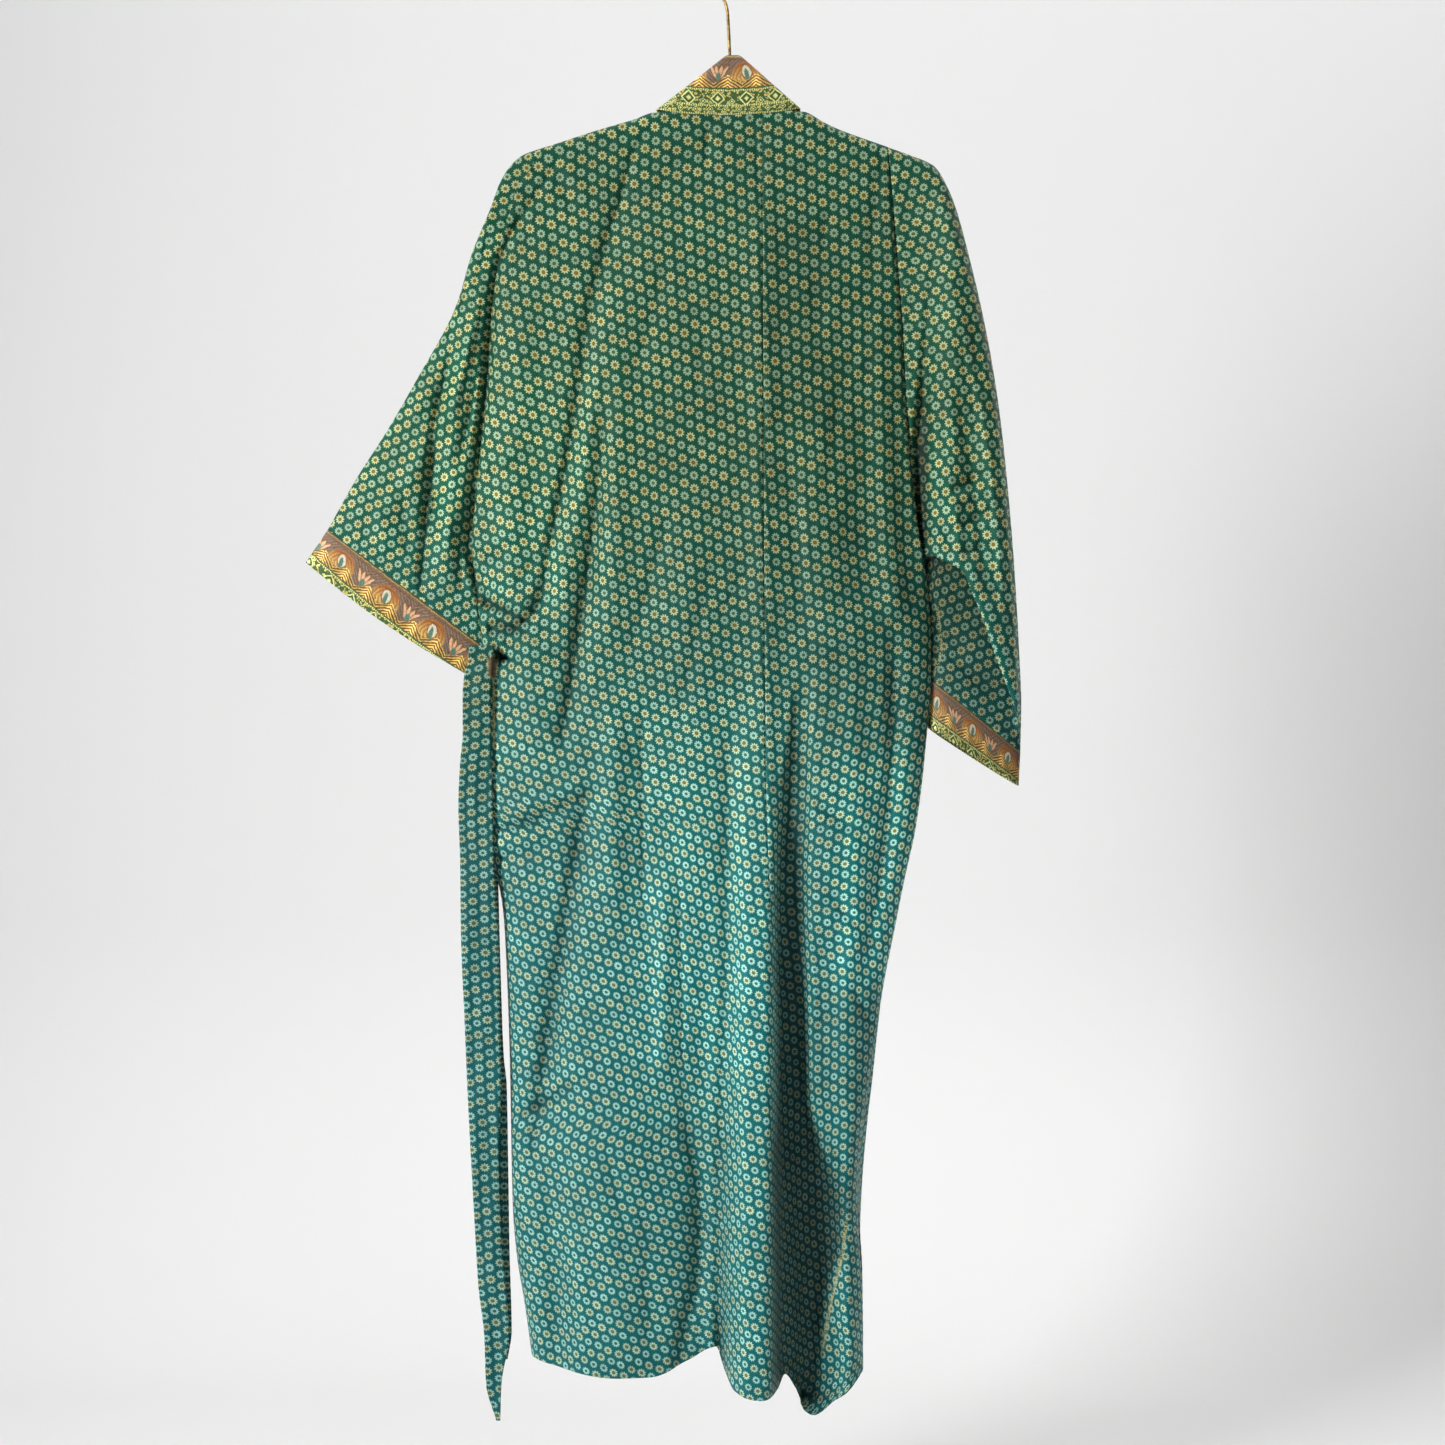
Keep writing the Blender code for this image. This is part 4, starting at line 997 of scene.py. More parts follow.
BACK_CREASES = creases_of(
    (-124, 835, -224, 877, 5.5, -6), (-120, 820, -220, 856, 6, 3), (-250, 880, -172, 864, 3, -5, 3),
    (-250, 905, -186, 896, 3, -4.5), (-246, 893, -180, 880, 5, 3), (-252, 790, -196, 838, 3.4, -3),
    (-144, 1125, -219, 1165, 5, -5), (-140, 1108, -216, 1144, 6, 3), (-239, 518, -196, 505, 4, -4),
    (-249, 608, -216, 595, 4, -5), (-212, 631, -186, 600, 4, -2), (-246, 538, -212, 545, 4.5, 3),
    (-270, 640, -194, 671, 4.2, -15, 3), (-262, 592, -216, 585, 4, 3),
    (-252, 632, -186, 654, 7, 5, 4), (-242, 668, -198, 678, 5.5, -13),
    (-240, 673, -206, 697, 3.4, -9), (-244, 699, -214, 704, 3.6, -15),
    (-244, 683, -212, 689, 3.6, 5), (-243, 664, -226, 712, 4, -6), (-236, 706, -180, 722, 5, -3, 4),
    (-232, 676, -180, 690, 4, -3, 4), (-230, 740, -176, 800, 5, -2.5, 6),
    (-228, 700, -168, 716, 5, 3, 5), (81, 840, 141, 880, 5, -4.5, -4),
    (86, 828, 146, 862, 6, 3, -4), (121, 1025, 146, 1085, 4.5, -4), (86, 1180, 121, 1225, 5, 4.5),
    (96, 930, 150, 990, 5, -3.5, -3), (100, 1090, 138, 1130, 5, -3), (111, 1335, 131, 1410, 8, 4),
    (90, 1290, 126, 1300, 5, -3), (-120, 1180, -96, 1300, 8, -2.5), (-84, 1240, -76, 1400, 8, -2.5),
    (-150, 1260, -140, 1404, 9, 3), (-170, 1290, -166, 1404, 8, -3),
    (-222, 1150, -186, 1152, 2.6, -3, -6), (-186, 1150, -150, 1118, 4, -2.5),
    (-60, 300, -90, 420, 8, -1.8), (-60, 560, -96, 700, 7, -2.4), (-20, 620, -52, 780, 7, -2.2),
    (60, 500, 72, 680, 8, -2.4), (110, 430, 96, 560, 7, -2.4), (84, 300, 92, 400, 8, -1.4),
    (50, 240, 110, 190, 7, -1.2), (-50, 200, -80, 260, 6, -1.2)
)


@dataclass(frozen=True)
class PlainFold:
    """One of the model's own large folds, which starts and ends at set drops."""

    start: float
    end: float
    x_start: float
    x_middle: float
    x_end: float
    left: float
    right: float
    rise_start: float
    rise_end: float
    power: float = 2.0

    def rise(self, x: Array, drop: Array) -> Array:
        """Give how far the fold lifts the cloth at each place."""
        share = (drop - self.start) / (self.end - self.start)
        inside = (share > 0.0) & (share < 1.0)
        share = np.clip(share, 0.0, 1.0)
        middle = (self.x_start * (1.0 - share) * (1.0 - 2.0 * share)
                  + 4.0 * self.x_middle * share * (1.0 - share)
                  + self.x_end * share * (2.0 * share - 1.0))
        flank = np.where(x < middle, self.left, self.right)
        profile = np.exp(-(np.abs(x - middle) / flank) ** self.power)
        fade = ease(share / 0.2) * ease((1.0 - share) / 0.12)
        height = self.rise_start + (self.rise_end - self.rise_start) * share
        return np.where(inside, profile * fade * height, 0.0)


def folds_of(*rows: tuple[float, ...]) -> tuple[PlainFold, ...]:
    """Make the model's large folds of rows with their values."""
    return tuple(PlainFold(*row) for row in rows)


# Drops a millimetre apart, from above the shoulders to below the hem.
LEVELS = np.arange(90.0, 1520.0, 1.0)


def summed_down(drop: Array, steps: Array) -> Array:
    """Add up a step for each millimetre down the robe, and read the sum at each drop."""
    return np.interp(drop, LEVELS, np.cumsum(steps))


@dataclass(frozen=True)
class PrintScale:
    """How the print runs down a panel, with the seam at its middle as the line to follow.

    The photograph shows the print smaller towards the hem, which lies further from its
    camera, and leaning a little from the seam.
    """

    across: tuple[tuple[float, float], ...] = (
        (190, 1), (245, 1), (465, 0.955), (685, 0.93), (905, 0.87), (1300, 0.865), (1440, 0.865)
    )
    down: tuple[tuple[float, float], ...] = (
        (190, 1.03), (460, 1.01), (685, 0.925), (905, 0.862), (1100, 0.852), (1300, 0.85),
        (1440, 0.85)
    )
    narrowed: tuple[LightPatch, ...] = patches_of(
        (-0.15, -104, -8, 860, 1170, 44), (-0.24, 43, 108, 1120, 1600, 22, 260)
    )
    lean: tuple[tuple[float, float], ...] = (
        (190, 0.02), (245, 0.03), (465, 0.045), (685, 0.07), (905, 0.06), (1100, 0.07),
        (1300, 0.1), (1440, 0.1)
    )

    def v_at(self, drop: Array) -> Array:
        """Give how far down the flat print each drop is."""
        return summed_down(drop, 1.0 / curve_of(self.down)(LEVELS))

    def middle_at(self, drop: Array) -> Array:
        """Give how far the flat print slips sideways under its middle line."""
        return summed_down(drop, -curve_of(self.lean)(LEVELS) / curve_of(self.across)(LEVELS))

    def scale_at(self, drop: Array) -> Array:
        """Give how much smaller than its true size the print shows across the panel."""
        return curve_of(self.across)(drop)

    def walked(self, arcs: Array, points: Array) -> Array:
        """Measure how far each place in a row lies from its first, in the flat print.

        Args:
            arcs: Each place's length along its row.
            points: The places.

        Returns:
            The flat lengths.
        """
        middle = 0.5 * (points[:, 1:] + points[:, :-1])
        x, drop = middle[..., 0], middle[..., 2]
        scale = self.scale_at(drop) * (1.0 + patched_light(self.narrowed, x, drop))
        return running_total(np.diff(arcs, axis=1) / scale, 1)


@dataclass
class BodyForm:
    """The hanging body: its outlines, its depth and the model's large folds."""

    arch_radius: float = 9.0
    neck_left: float = -74.0
    neck_right: float = 73.0
    neck_turn: float = 16.0
    hem_level: float = 1400.0
    cloth_length: float = 1210.0
    top_level: float = 193.0
    underarm: float = 440.0
    armhole_depth: float = 11.0
    side_seam: float = 0.42
    front_hem: float = 1386.0
    left_edge: tuple = (
        (193, -181), (223, -198), (242, -211), (262, -218), (305, -229), (369, -238), (431, -241),
        (560, -255), (594, -257), (632, -253.5), (650, -251.5), (665, -249), (695, -247),
        (720, -246), (745, -245), (800, -244), (850, -242), (885, -239), (915, -233.5), (945, -227),
        (975, -224), (1100, -219), (1250, -216), (1300, -212), (1350, -204), (1400, -197)
    )
    right_edge: tuple = (
        (193, 157), (243, 162), (308, 166), (369, 172), (451, 176), (560, 187), (600, 193),
        (632, 198), (690, 202), (735, 202), (775, 198), (825, 193), (875, 186), (925, 175),
        (975, 165), (1025, 155), (1075, 147), (1125, 140), (1175, 132), (1225, 128), (1275, 130),
        (1325, 133), (1400, 134)
    )
    left_grain: tuple = ((193, -190), (620, -240), (1400, -200))
    right_grain: tuple = ((193, 158), (660, 190), (1400, 134))
    left_band: tuple = ((158, -74), (300, -76), (1400, -80))
    right_band: tuple = ((157, 73), (300, 75), (1400, 79))
    centre_back: tuple = ((193, 33), (800, 36), (1100, 46), (1400, 50))
    ridge: tuple = (
        (-181, 192), (-129, 175), (-95, 165), (-74, 158), (-40, 161), (0, 162), (40, 160),
        (73, 157), (95, 168), (110, 175), (157, 192)
    )
    back_hem: tuple = (
        (-198, 1397), (-167, 1404), (-107, 1410), (-78, 1410), (-38, 1395), (-13, 1383), (-5, 1404),
        (6, 1421), (32, 1427), (48, 1423), (55, 1412), (66, 1428), (75, 1449), (84, 1454),
        (104, 1442), (134, 1412)
    )
    depths: tuple = (
        (160, 9, 9), (300, 15, 13), (450, 22, 18), (600, 28, 22), (800, 34, 26), (1100, 38, 30),
        (1450, 44, 34)
    )
    back_folds: tuple = folds_of(
        (165, 670, -88, -136, -154, 13, 24, -3, -7), (300, 690, -210, -226, -232, 16, 26, 3, 13),
        (300, 720, -112, -114, -116, 14, 14, 2, 4), (165, 860, 33, 33, 34, 13, 15, 2, 4),
        (300, 680, 150, 158, 170, 18, 14, 3, 9), (630, 800, -205, -200, -185, 16, 22, 6, 4),
        (780, 1500, 30, 26, 24, 26, 22, 2, 24, 4), (900, 1500, -24, -26, -26, 20, 12, -3, -12),
        (980, 1500, 82, 88, 92, 26, 28, -4, -22, 4), (1200, 1500, 118, 118, 120, 10, 12, 3, 12),
        (900, 1500, -110, -112, -118, 50, 45, 3, 12), (850, 1500, -180, -176, -170, 14, 18, -2, -8),
        (400, 1000, 95, 100, 104, 22, 22, 4, 5), (500, 1100, -40, -36, -34, 24, 24, 3, 4)
    )
    left_front_folds: tuple = folds_of(
        (260, 1500, -150, -156, -162, 18, 22, 3, 12), (420, 1500, -195, -196, -192, 14, 14, -3, -9),
        (700, 1500, -112, -112, -114, 16, 14, -2, -8)
    )
    right_front_folds: tuple = folds_of(
        (260, 1500, 140, 128, 104, 20, 18, 3, 11), (480, 1200, 168, 164, 136, 14, 12, -3, -7)
    )

    def edge(self, side: Side) -> SmoothCurve:
        """Give the body's own outline on one side."""
        return curve_of(self.left_edge if side is Side.LEFT else self.right_edge)

    def grain(self, side: Side) -> SmoothCurve:
        """Give the calmer line that the threads follow on one side."""
        return curve_of(self.left_grain if side is Side.LEFT else self.right_grain)

    def hole_depth(self, along: Array) -> Array:
        """Give the depth of the armhole's edge at a distance down the cloth."""
        share = np.clip(along / self.underarm, 0.0, 1.0)
        return self.armhole_depth * np.sqrt(1.0 - share ** 4)

    def panel(self, share: Array, along: Array, facing: Facing,
              sides: tuple[Side | None, Side | None], creases: Sequence[Pleat | Crease]) -> Array:
        """Place the points of a panel.

        Args:
            share: How far across the panel each point is.
            along: How far down the cloth each point is.
            facing: Whether the panel is the back or a front.
            sides: The sides whose seams bound it, None for the straight edge at the band.
            creases: What the photograph shows beyond the model's large folds.

        Returns:
            The points as x, depth and drop, where depth is out of the robe.
        """
        down = along / self.cloth_length
        level = self.top_level + (self.hem_level - self.top_level) * down
        band = curve_of(self.left_band if sides[0] is Side.LEFT else self.right_band)
        lines = [band if side is None else self.grain(side) for side in sides]
        x = lines[0](level) + (lines[1](level) - lines[0](level)) * share
        distances = (share, 1.0 - share)
        for side, line, distance in zip(sides, lines, distances):
            if side is not None:
                reach = np.clip(1.0 - distance / 0.25, 0.0, None) ** 2
                x = x + (self.edge(side)(level) - line(level)) * reach
        inside = np.minimum(x - self.neck_left, self.neck_right - x) / self.neck_turn
        start_angle = 0.5 * math.pi * ease(inside)
        bent = np.minimum(along, self.arch_radius * (0.5 * math.pi - start_angle))
        angle = start_angle + bent / self.arch_radius
        lost = bent - self.arch_radius * (np.cos(start_angle) - np.cos(angle))
        top_fade = 1.0 - ease(down / 0.3)
        low_fade = ease((down - 0.75) / 0.25)
        hem = curve_of(self.back_hem)(x) if facing is Facing.BACK else self.front_hem
        drop = (level + (curve_of(self.ridge)(x) - self.top_level) * top_fade
                + (hem - self.hem_level) * low_fade - lost * top_fade)
        column = 1 if facing is Facing.BACK else 2
        centre = curve_of(self.depths, 0, column)(drop)
        depth = centre
        mask = np.ones_like(depth)
        near_side = np.ones_like(depth)
        closed = ease((along - self.underarm + 50.0) / 90.0)
        for side, distance in zip(sides, distances):
            if side is None:
                continue
            inward = np.clip(1.0 - distance / 0.32, 0.0, 1.0)
            round_side = (1.0 - inward ** 2.4) ** (1.0 / 2.4)
            blended = round_side * closed + ease(distance / 0.30) * (1.0 - closed)
            at_edge = self.side_seam + self.hole_depth(along)
            depth = np.minimum(depth, at_edge + (centre - at_edge) * blended)
            mask = mask * ease(distance / 0.09)
            near_side = near_side * (1.0 - closed * (1.0 - ease(distance / 0.03)))
        large = self.left_front_folds if sides[0] is Side.LEFT else self.right_front_folds
        if facing is Facing.BACK:
            large = self.back_folds
        leaving_top = ease(along / 60.0)
        depth = depth + lifted(large, x, drop) * mask * leaving_top
        fine = lifted(creases, x, drop) * near_side * ease(along / 26.0)
        depth = np.maximum(depth + fine, np.minimum(depth, -0.3 * centre))
        return np.stack([x, depth * np.sin(angle), drop], axis=-1)


@dataclass
class Body:
    """The back, cut in two halves with a seam between them, and the two fronts."""

    form: BodyForm
    scale: PrintScale
    rows_at_top: int = 16
    rows: int = 335
    samples: int = 700
    print_gather: float = 1.25
    calming: int = 40
    seam_hides: float = 3.0
    back_columns: dict[Side, int] = field(default_factory=lambda: {Side.LEFT: 118, Side.RIGHT: 84})
    front_columns: int = 62
    front_shift: float = 400.0
    hem_allowance: float = 11.0
    # Painted shade over the lower right of the back: its strength, its left side, its top and its
    # right edge.
    low_right_shade: float = 0.48
    low_right_shade_left: float = 41.0
    low_right_shade_top: float = 1130.0
    hem_shade: float = 0.14
    hem_soft: float = 2.4
    darkest: float = -0.66
    low_right_shade_edge: tuple = ((1120, 60), (1165, 84), (1239, 117), (1290, 113), (1330, 99), (1405, 86))
    # Patches of painted light and shade on the back, each with its amount, sides, top, bottom and
    # softness.
    light_patches: tuple[LightPatch, ...] = patches_of(
        (0.1, -45, 15, 243, 343, 12), (-0.12, 39, 103, 263, 475, 22), (-0.05, 34, 46, 170, 900, 12),
        (-0.06, -300, 300, 100, 263, 14), (-0.14, 80, 113, 690, 1140, 16),
        (-0.16, -70, 260, 250, 720, 150), (0.34, -90, 40, 760, 1130, 110),
        (0.62, 98, 240, 800, 1030, 60), (0.26, -240, -150, 430, 640, 90),
        (0.5, -240, -229, 712, 940, 7), (-0.06, -250, -110, 820, 1500, 90),
        (0.03, 10, 44, 1010, 1500, 10)
    )

    def back_creases(self) -> list[Pleat | Crease]:
        """List the back's creases as the photograph shows them."""
        return [*BACK_TROUGHS, LEFT_ARMHOLE_VALLEY, RIGHT_ARMHOLE_SEAM, *BACK_CREASES,
                *LEFT_PUCKERS, *scattered_creases(11, 90, -240, 190, 260, 1400, 1.3)]

    def front_creases(self, side: Side) -> list[Pleat | Crease]:
        """List the plain troughs that finish the hidden fronts like the back."""
        sign = side.value
        troughs = [
            Pleat(((170, sign * 92, 6, 6, 0), (240, sign * 104, 6, 7, -4),
                (420, sign * 122, 7, 8, -9), (600, sign * 150, 7, 9, -10),
                (760, sign * 170, 8, 9, 0))),
            Pleat(((620, sign * 112, 6, 8, 0), (760, sign * 118, 6, 9, -7),
                (1000, sign * 116, 7, 9, -11), (1386, sign * 112, 7, 10, -12),
                (1440, sign * 112, 7, 10, -12))),
            Pleat(((860, sign * 96, 7, 9, 0), (1060, sign * 94, 8, 9, 5),
                (1386, sign * 92, 9, 9, 7), (1440, sign * 92, 9, 9, 7))),
            *creases_of((sign * 200, 700, sign * 130, 760, 6, -5, 5),
                     (sign * 190, 900, sign * 120, 960, 6, -3.5, 5))
        ]
        seed, (left, right) = (23, (-230, -80)) if side is Side.LEFT else (29, (80, 230))
        return troughs + scattered_creases(seed, 40, left, right, 260, 1380, 1.3)

    def steps(self) -> Array:
        """List the distances down the cloth, close together over the shoulders."""
        top = np.linspace(0.15, 20.0, self.rows_at_top)
        rest = np.linspace(20.0, self.form.cloth_length, self.rows)[1:]
        return np.concatenate([top, rest])

    def centre_share(self, along: Array) -> Array:
        """Find the share across the back where its centre seam runs."""
        form = self.form
        level = form.top_level + (form.hem_level - form.top_level) * along / form.cloth_length
        left = form.grain(Side.LEFT)(level)
        return (curve_of(form.centre_back)(level) - left) / (form.grain(Side.RIGHT)(level) - left)

    def respaced(self, points: Array, columns: int) -> tuple[Array, Array]:
        """Space a panel's columns by its length across, so that steep folds get more of them.

        Args:
            points: Closely sampled rows of the panel.
            columns: How many columns are wanted.

        Returns:
            The points, and each one's length in the print from the row's first point.
        """
        # Short creases pull the cloth up, not across, so the print's widths leave them out.
        calm = calmed(points[..., 1].copy(), self.calming)
        across = np.diff(points[..., 0], axis=1)
        lengths, calm_lengths = (
            running_total(np.hypot(across, self.print_gather * np.diff(depth, axis=1)), 1)
            for depth in (points[..., 1], calm))
        made = np.empty((len(points), columns, 3))
        arcs = np.empty((len(points), columns))
        for index, (row, length) in enumerate(zip(points, lengths)):
            places = np.linspace(0.0, length[-1], columns)
            arcs[index] = np.interp(places, length, calm_lengths[index])
            for axis in range(3):
                made[index, :, axis] = np.interp(places, length, row[:, axis])
        return made, arcs

    def painted_back_light(self, x: Array, drop: Array) -> Array:
        """Give the back's painted light and shade: its patches, painted shade over the lower right
        and painted shade in its troughs.
        """
        reach = curve_of(self.low_right_shade_edge)(drop)
        low_right_shaded = ease((x - self.low_right_shade_left) / 4.0 + 0.5) * ease((reach - x) / 16.0 + 0.5)
        low_right_shaded = low_right_shaded * ease((drop - self.low_right_shade_top) / 70.0)
        light = patched_light(self.light_patches, x, drop) - self.low_right_shade * low_right_shaded
        light = light + painted_fold_shade(self.back_creases(), x, drop)
        return np.maximum(light, self.darkest)

    def back_half(self, side: Side) -> ClothGrid:
        """Lay out one half of the back, from its side seam to the centre seam.

        Args:
            side: The half's side.

        Returns:
            Its points and its print.
        """
        along = self.steps()[:, None] * np.ones(self.samples)
        middle = self.centre_share(along)
        places = np.linspace(0.0, 1.0, self.samples)
        share = places * middle if side is Side.LEFT else 1.0 - places * (1.0 - middle)
        points = self.form.panel(share, along, Facing.BACK, (Side.LEFT, Side.RIGHT),
                                 self.back_creases())
        points, arcs = self.respaced(points, self.back_columns[side])
        flat = self.scale.walked(arcs, points)
        middle_drop = points[:, -1:, 2]
        outward = side.value * (flat[:, -1:] - flat)
        u = self.scale.middle_at(middle_drop) + outward + side.value * 0.5 * self.seam_hides
        v = self.scale.v_at(points[..., 2])
        points[..., 1] *= Facing.BACK.value
        light = self.painted_back_light(points[..., 0], points[..., 2])
        above_hem = self.form.cloth_length - self.steps()[:, None]
        turned_in = np.exp(-((above_hem - self.hem_allowance) / self.hem_soft) ** 2)
        light = light - self.hem_shade * turned_in
        return ClothGrid(points, np.stack([u, v], axis=-1), light=light)

    def front(self, side: Side) -> ClothGrid:
        """Lay out one front, from its side seam to the neckband.

        Args:
            side: The front's side.

        Returns:
            Its points and its print.
        """
        along = self.steps()[:, None] * np.ones(self.samples)
        share = np.linspace(0.0, 1.0, self.samples) * np.ones_like(along)
        points = self.form.panel(share, along, Facing.FRONT, (side, None),
                                 self.front_creases(side))
        points, arcs = self.respaced(points, self.front_columns)
        u = side.value * (self.front_shift - arcs / self.scale.scale_at(points[..., 2]))
        v = self.scale.v_at(points[..., 2])
        return ClothGrid(points, np.stack([u, v], axis=-1))

    def build(self, silk: bpy.types.Material) -> None:
        """Build the four panels.

        Args:
            silk: The panels' finish.
        """
        for node, cloth, cut in (("back_left", self.back_half(Side.LEFT), (0.300, 1.260)),
                                 ("back_right", self.back_half(Side.RIGHT), (0.170, 1.260)),
                                 ("left_front", self.front(Side.LEFT), (0.200, 1.230)),
                                 ("right_front", self.front(Side.RIGHT), (0.125, 1.230))):
            piece = sheet_object(f"silk_{node}", cloth, SILK_THICKNESS, silk)
            settle(piece, Slot.SILK, node)


@dataclass(frozen=True)
class SleevePlan:
    """What sets one sleeve apart from the other.

    top and bottom are its two folded edges from the armhole to the cuff seam, as x and
    drop. cuff_run is the way that the cuff points, and cuff_depths how far its mouth
    stands open at the back and at the front. cuff_widths and border_shown are the cuff's
    width, and the width of border that it shows, at the top fold and at the underarm.
    folds hold the run's start and end, the turn's start and end, the width and the rise
    of the model's own folds.
    """

    top: tuple
    bottom: tuple
    cuff_run: tuple[float, float]
    cuff_depths: tuple[float, float]
    folds: tuple
    rings: int
    half_turns: int
    cut: tuple[float, float, float]
    cuff_cut: tuple[float, float]
    border_start: float
    border_spread: float
    # Painted shade over the whole cuff, below 0.
    cuff_light: float
    cuff_bow: float
    cuff_widths: tuple[float, float]
    border_shown: tuple[float, float]


SLEEVE_PLANS = {
    Side.LEFT: SleevePlan(
        top=((-181, 192.5), (-204, 200), (-216, 210), (-226, 225), (-236, 250), (-247, 275),
             (-257, 300), (-272, 350), (-312, 425), (-341, 475), (-373, 525), (-401, 575)),
        bottom=((-253, 634), (-250, 658), (-242, 694)),
        cuff_run=(-0.56, 0.83), cuff_depths=(9, 9),
        folds=((0.05, 0.95, 0.3, 0.22, 0.05, 5), (0.1, 0.9, 0.46, 0.4, 0.05, -4),
               (0.05, 0.8, 0.62, 0.58, 0.06, 5), (0, 0.6, 0.86, 0.8, 0.05, -5)),
        rings=100, half_turns=128, cut=(0.880, 0.200, 0.088),
        cuff_cut=(0.400, 0.040), border_start=-2.9, border_spread=1,
        cuff_light=0, cuff_bow=5,
        cuff_widths=(39, 32), border_shown=(48.75, 35)),
    Side.RIGHT: SleevePlan(
        top=((157, 192.5), (179, 200), (204, 211), (214, 225), (225, 250), (239, 300),
             (251, 350), (261, 400), (269, 450), (275, 500), (284, 600), (290, 700),
             (292, 750), (291, 797)),
        bottom=((198.2, 634), (200.9, 665), (202.2, 695), (201.5, 724.5)),
        cuff_run=(-0.05, 1), cuff_depths=(13, 42),
        folds=((0.05, 0.9, 0.22, 0.18, 0.05, 4), (0.05, 0.8, 0.42, 0.36, 0.06, -3),
               (0.05, 0.6, 0.64, 0.6, 0.06, 5)),
        rings=150, half_turns=150, cut=(0.880, 0.280, 0.145),
        cuff_cut=(0.250, 0.040), border_start=4.1, border_spread=1.25,
        cuff_light=-0.3, cuff_bow=0,
        cuff_widths=(33.5, 48), border_shown=(42, 50)),
}

# Patches of painted light and shade on the back of each sleeve.
SLEEVE_LIGHT = {
    Side.LEFT: patches_of((0.2, -284, -252, 400, 600, 30), (0.14, -420, -170, 260, 660, 60)),
    Side.RIGHT: patches_of((0.12, 205, 300, 470, 640, 40), (-0.06, 190, 320, 190, 470, 50)),
}

SLEEVE_CREASES = {
    (Side.LEFT, Facing.BACK): [
        LEFT_ARMHOLE_VALLEY,
        Pleat(((392, -277, 4, 4, 0), (418, -282, 4, 5, -4), (445, -289, 5, 5, -7),
            (502, -297, 5, 6, -9), (552, -301, 5, 7, -9), (618, -306, 5, 7, -6),
            (645, -308, 5, 6, 0))),
        Pleat(((320, -254, 7, 7, 0), (420, -266, 8, 8, 4), (560, -279, 9, 9, 6),
            (650, -282, 8, 8, 0))),
        *creases_of((-276, 372, -286, 392, 4, -4.5), (-262, 330, -270, 362, 5, -3),
            (-330, 520, -318, 606, 7, -3.5), (-352, 548, -340, 600, 7, 3),
            (-300, 430, -318, 470, 6, 2.5), (-272, 560, -266, 640, 5, -4),
            (-262, 400, -268, 470, 4, -2.5)), *LEFT_PUCKERS,
        *scattered_creases(41, 26, -380, -250, 300, 660, 1.2),
    ],
    (Side.LEFT, Facing.FRONT): [
        Pleat(((340, -262, 6, 6, 0), (440, -282, 6, 7, -5), (560, -300, 6, 8, -7),
            (640, -306, 6, 7, 0))),
        *scattered_creases(43, 26, -380, -250, 300, 660, 1.2),
    ],
    (Side.RIGHT, Facing.BACK): [
        RIGHT_ARMHOLE_SEAM,
        Pleat(((232, 208, 4, 5, 0), (267, 206, 4, 5, -1), (330, 201, 4, 5, -1.6),
            (375, 198, 5, 5, -3), (430, 195, 6, 6, -8), (495, 193, 8, 7, -18),
            (580, 192, 9, 9, -19), (618, 193, 10, 12, 0)), power=3),
        Pleat(((340, 245, 7, 7, 0), (400, 244, 8, 8, -2), (500, 243, 8, 8, -2.2),
            (560, 242, 8, 8, 0))),
        Pleat(((280, 221, 8, 9, 0), (400, 222, 9, 9, 4), (520, 221, 9, 9, 5), (600, 226, 9, 9, 0))),
        *creases_of((208, 546, 262, 515, 4.5, -4), (208, 560, 266, 530, 4.5, 2.5),
            (212, 584, 271, 550, 4.5, -4), (216, 604, 274, 588, 4, -3), (228, 618, 276, 612, 4, 2),
            (244, 640, 284, 640, 5, -2.5), (222, 700, 262, 744, 5, -3),
            (236, 690, 278, 734, 6, 2.5), (212, 670, 236, 700, 5, -3), (206, 240, 222, 300, 4, 2)),
        *scattered_creases(47, 34, 200, 290, 240, 760, 1.2),
    ],
    (Side.RIGHT, Facing.FRONT): [
        Pleat(((300, 214, 6, 7, 0), (420, 214, 7, 8, -5), (560, 226, 7, 9, -7),
            (700, 236, 7, 9, -5), (780, 240, 7, 9, 0))),
        *scattered_creases(53, 34, 200, 290, 240, 760, 1.2),
    ],
} 


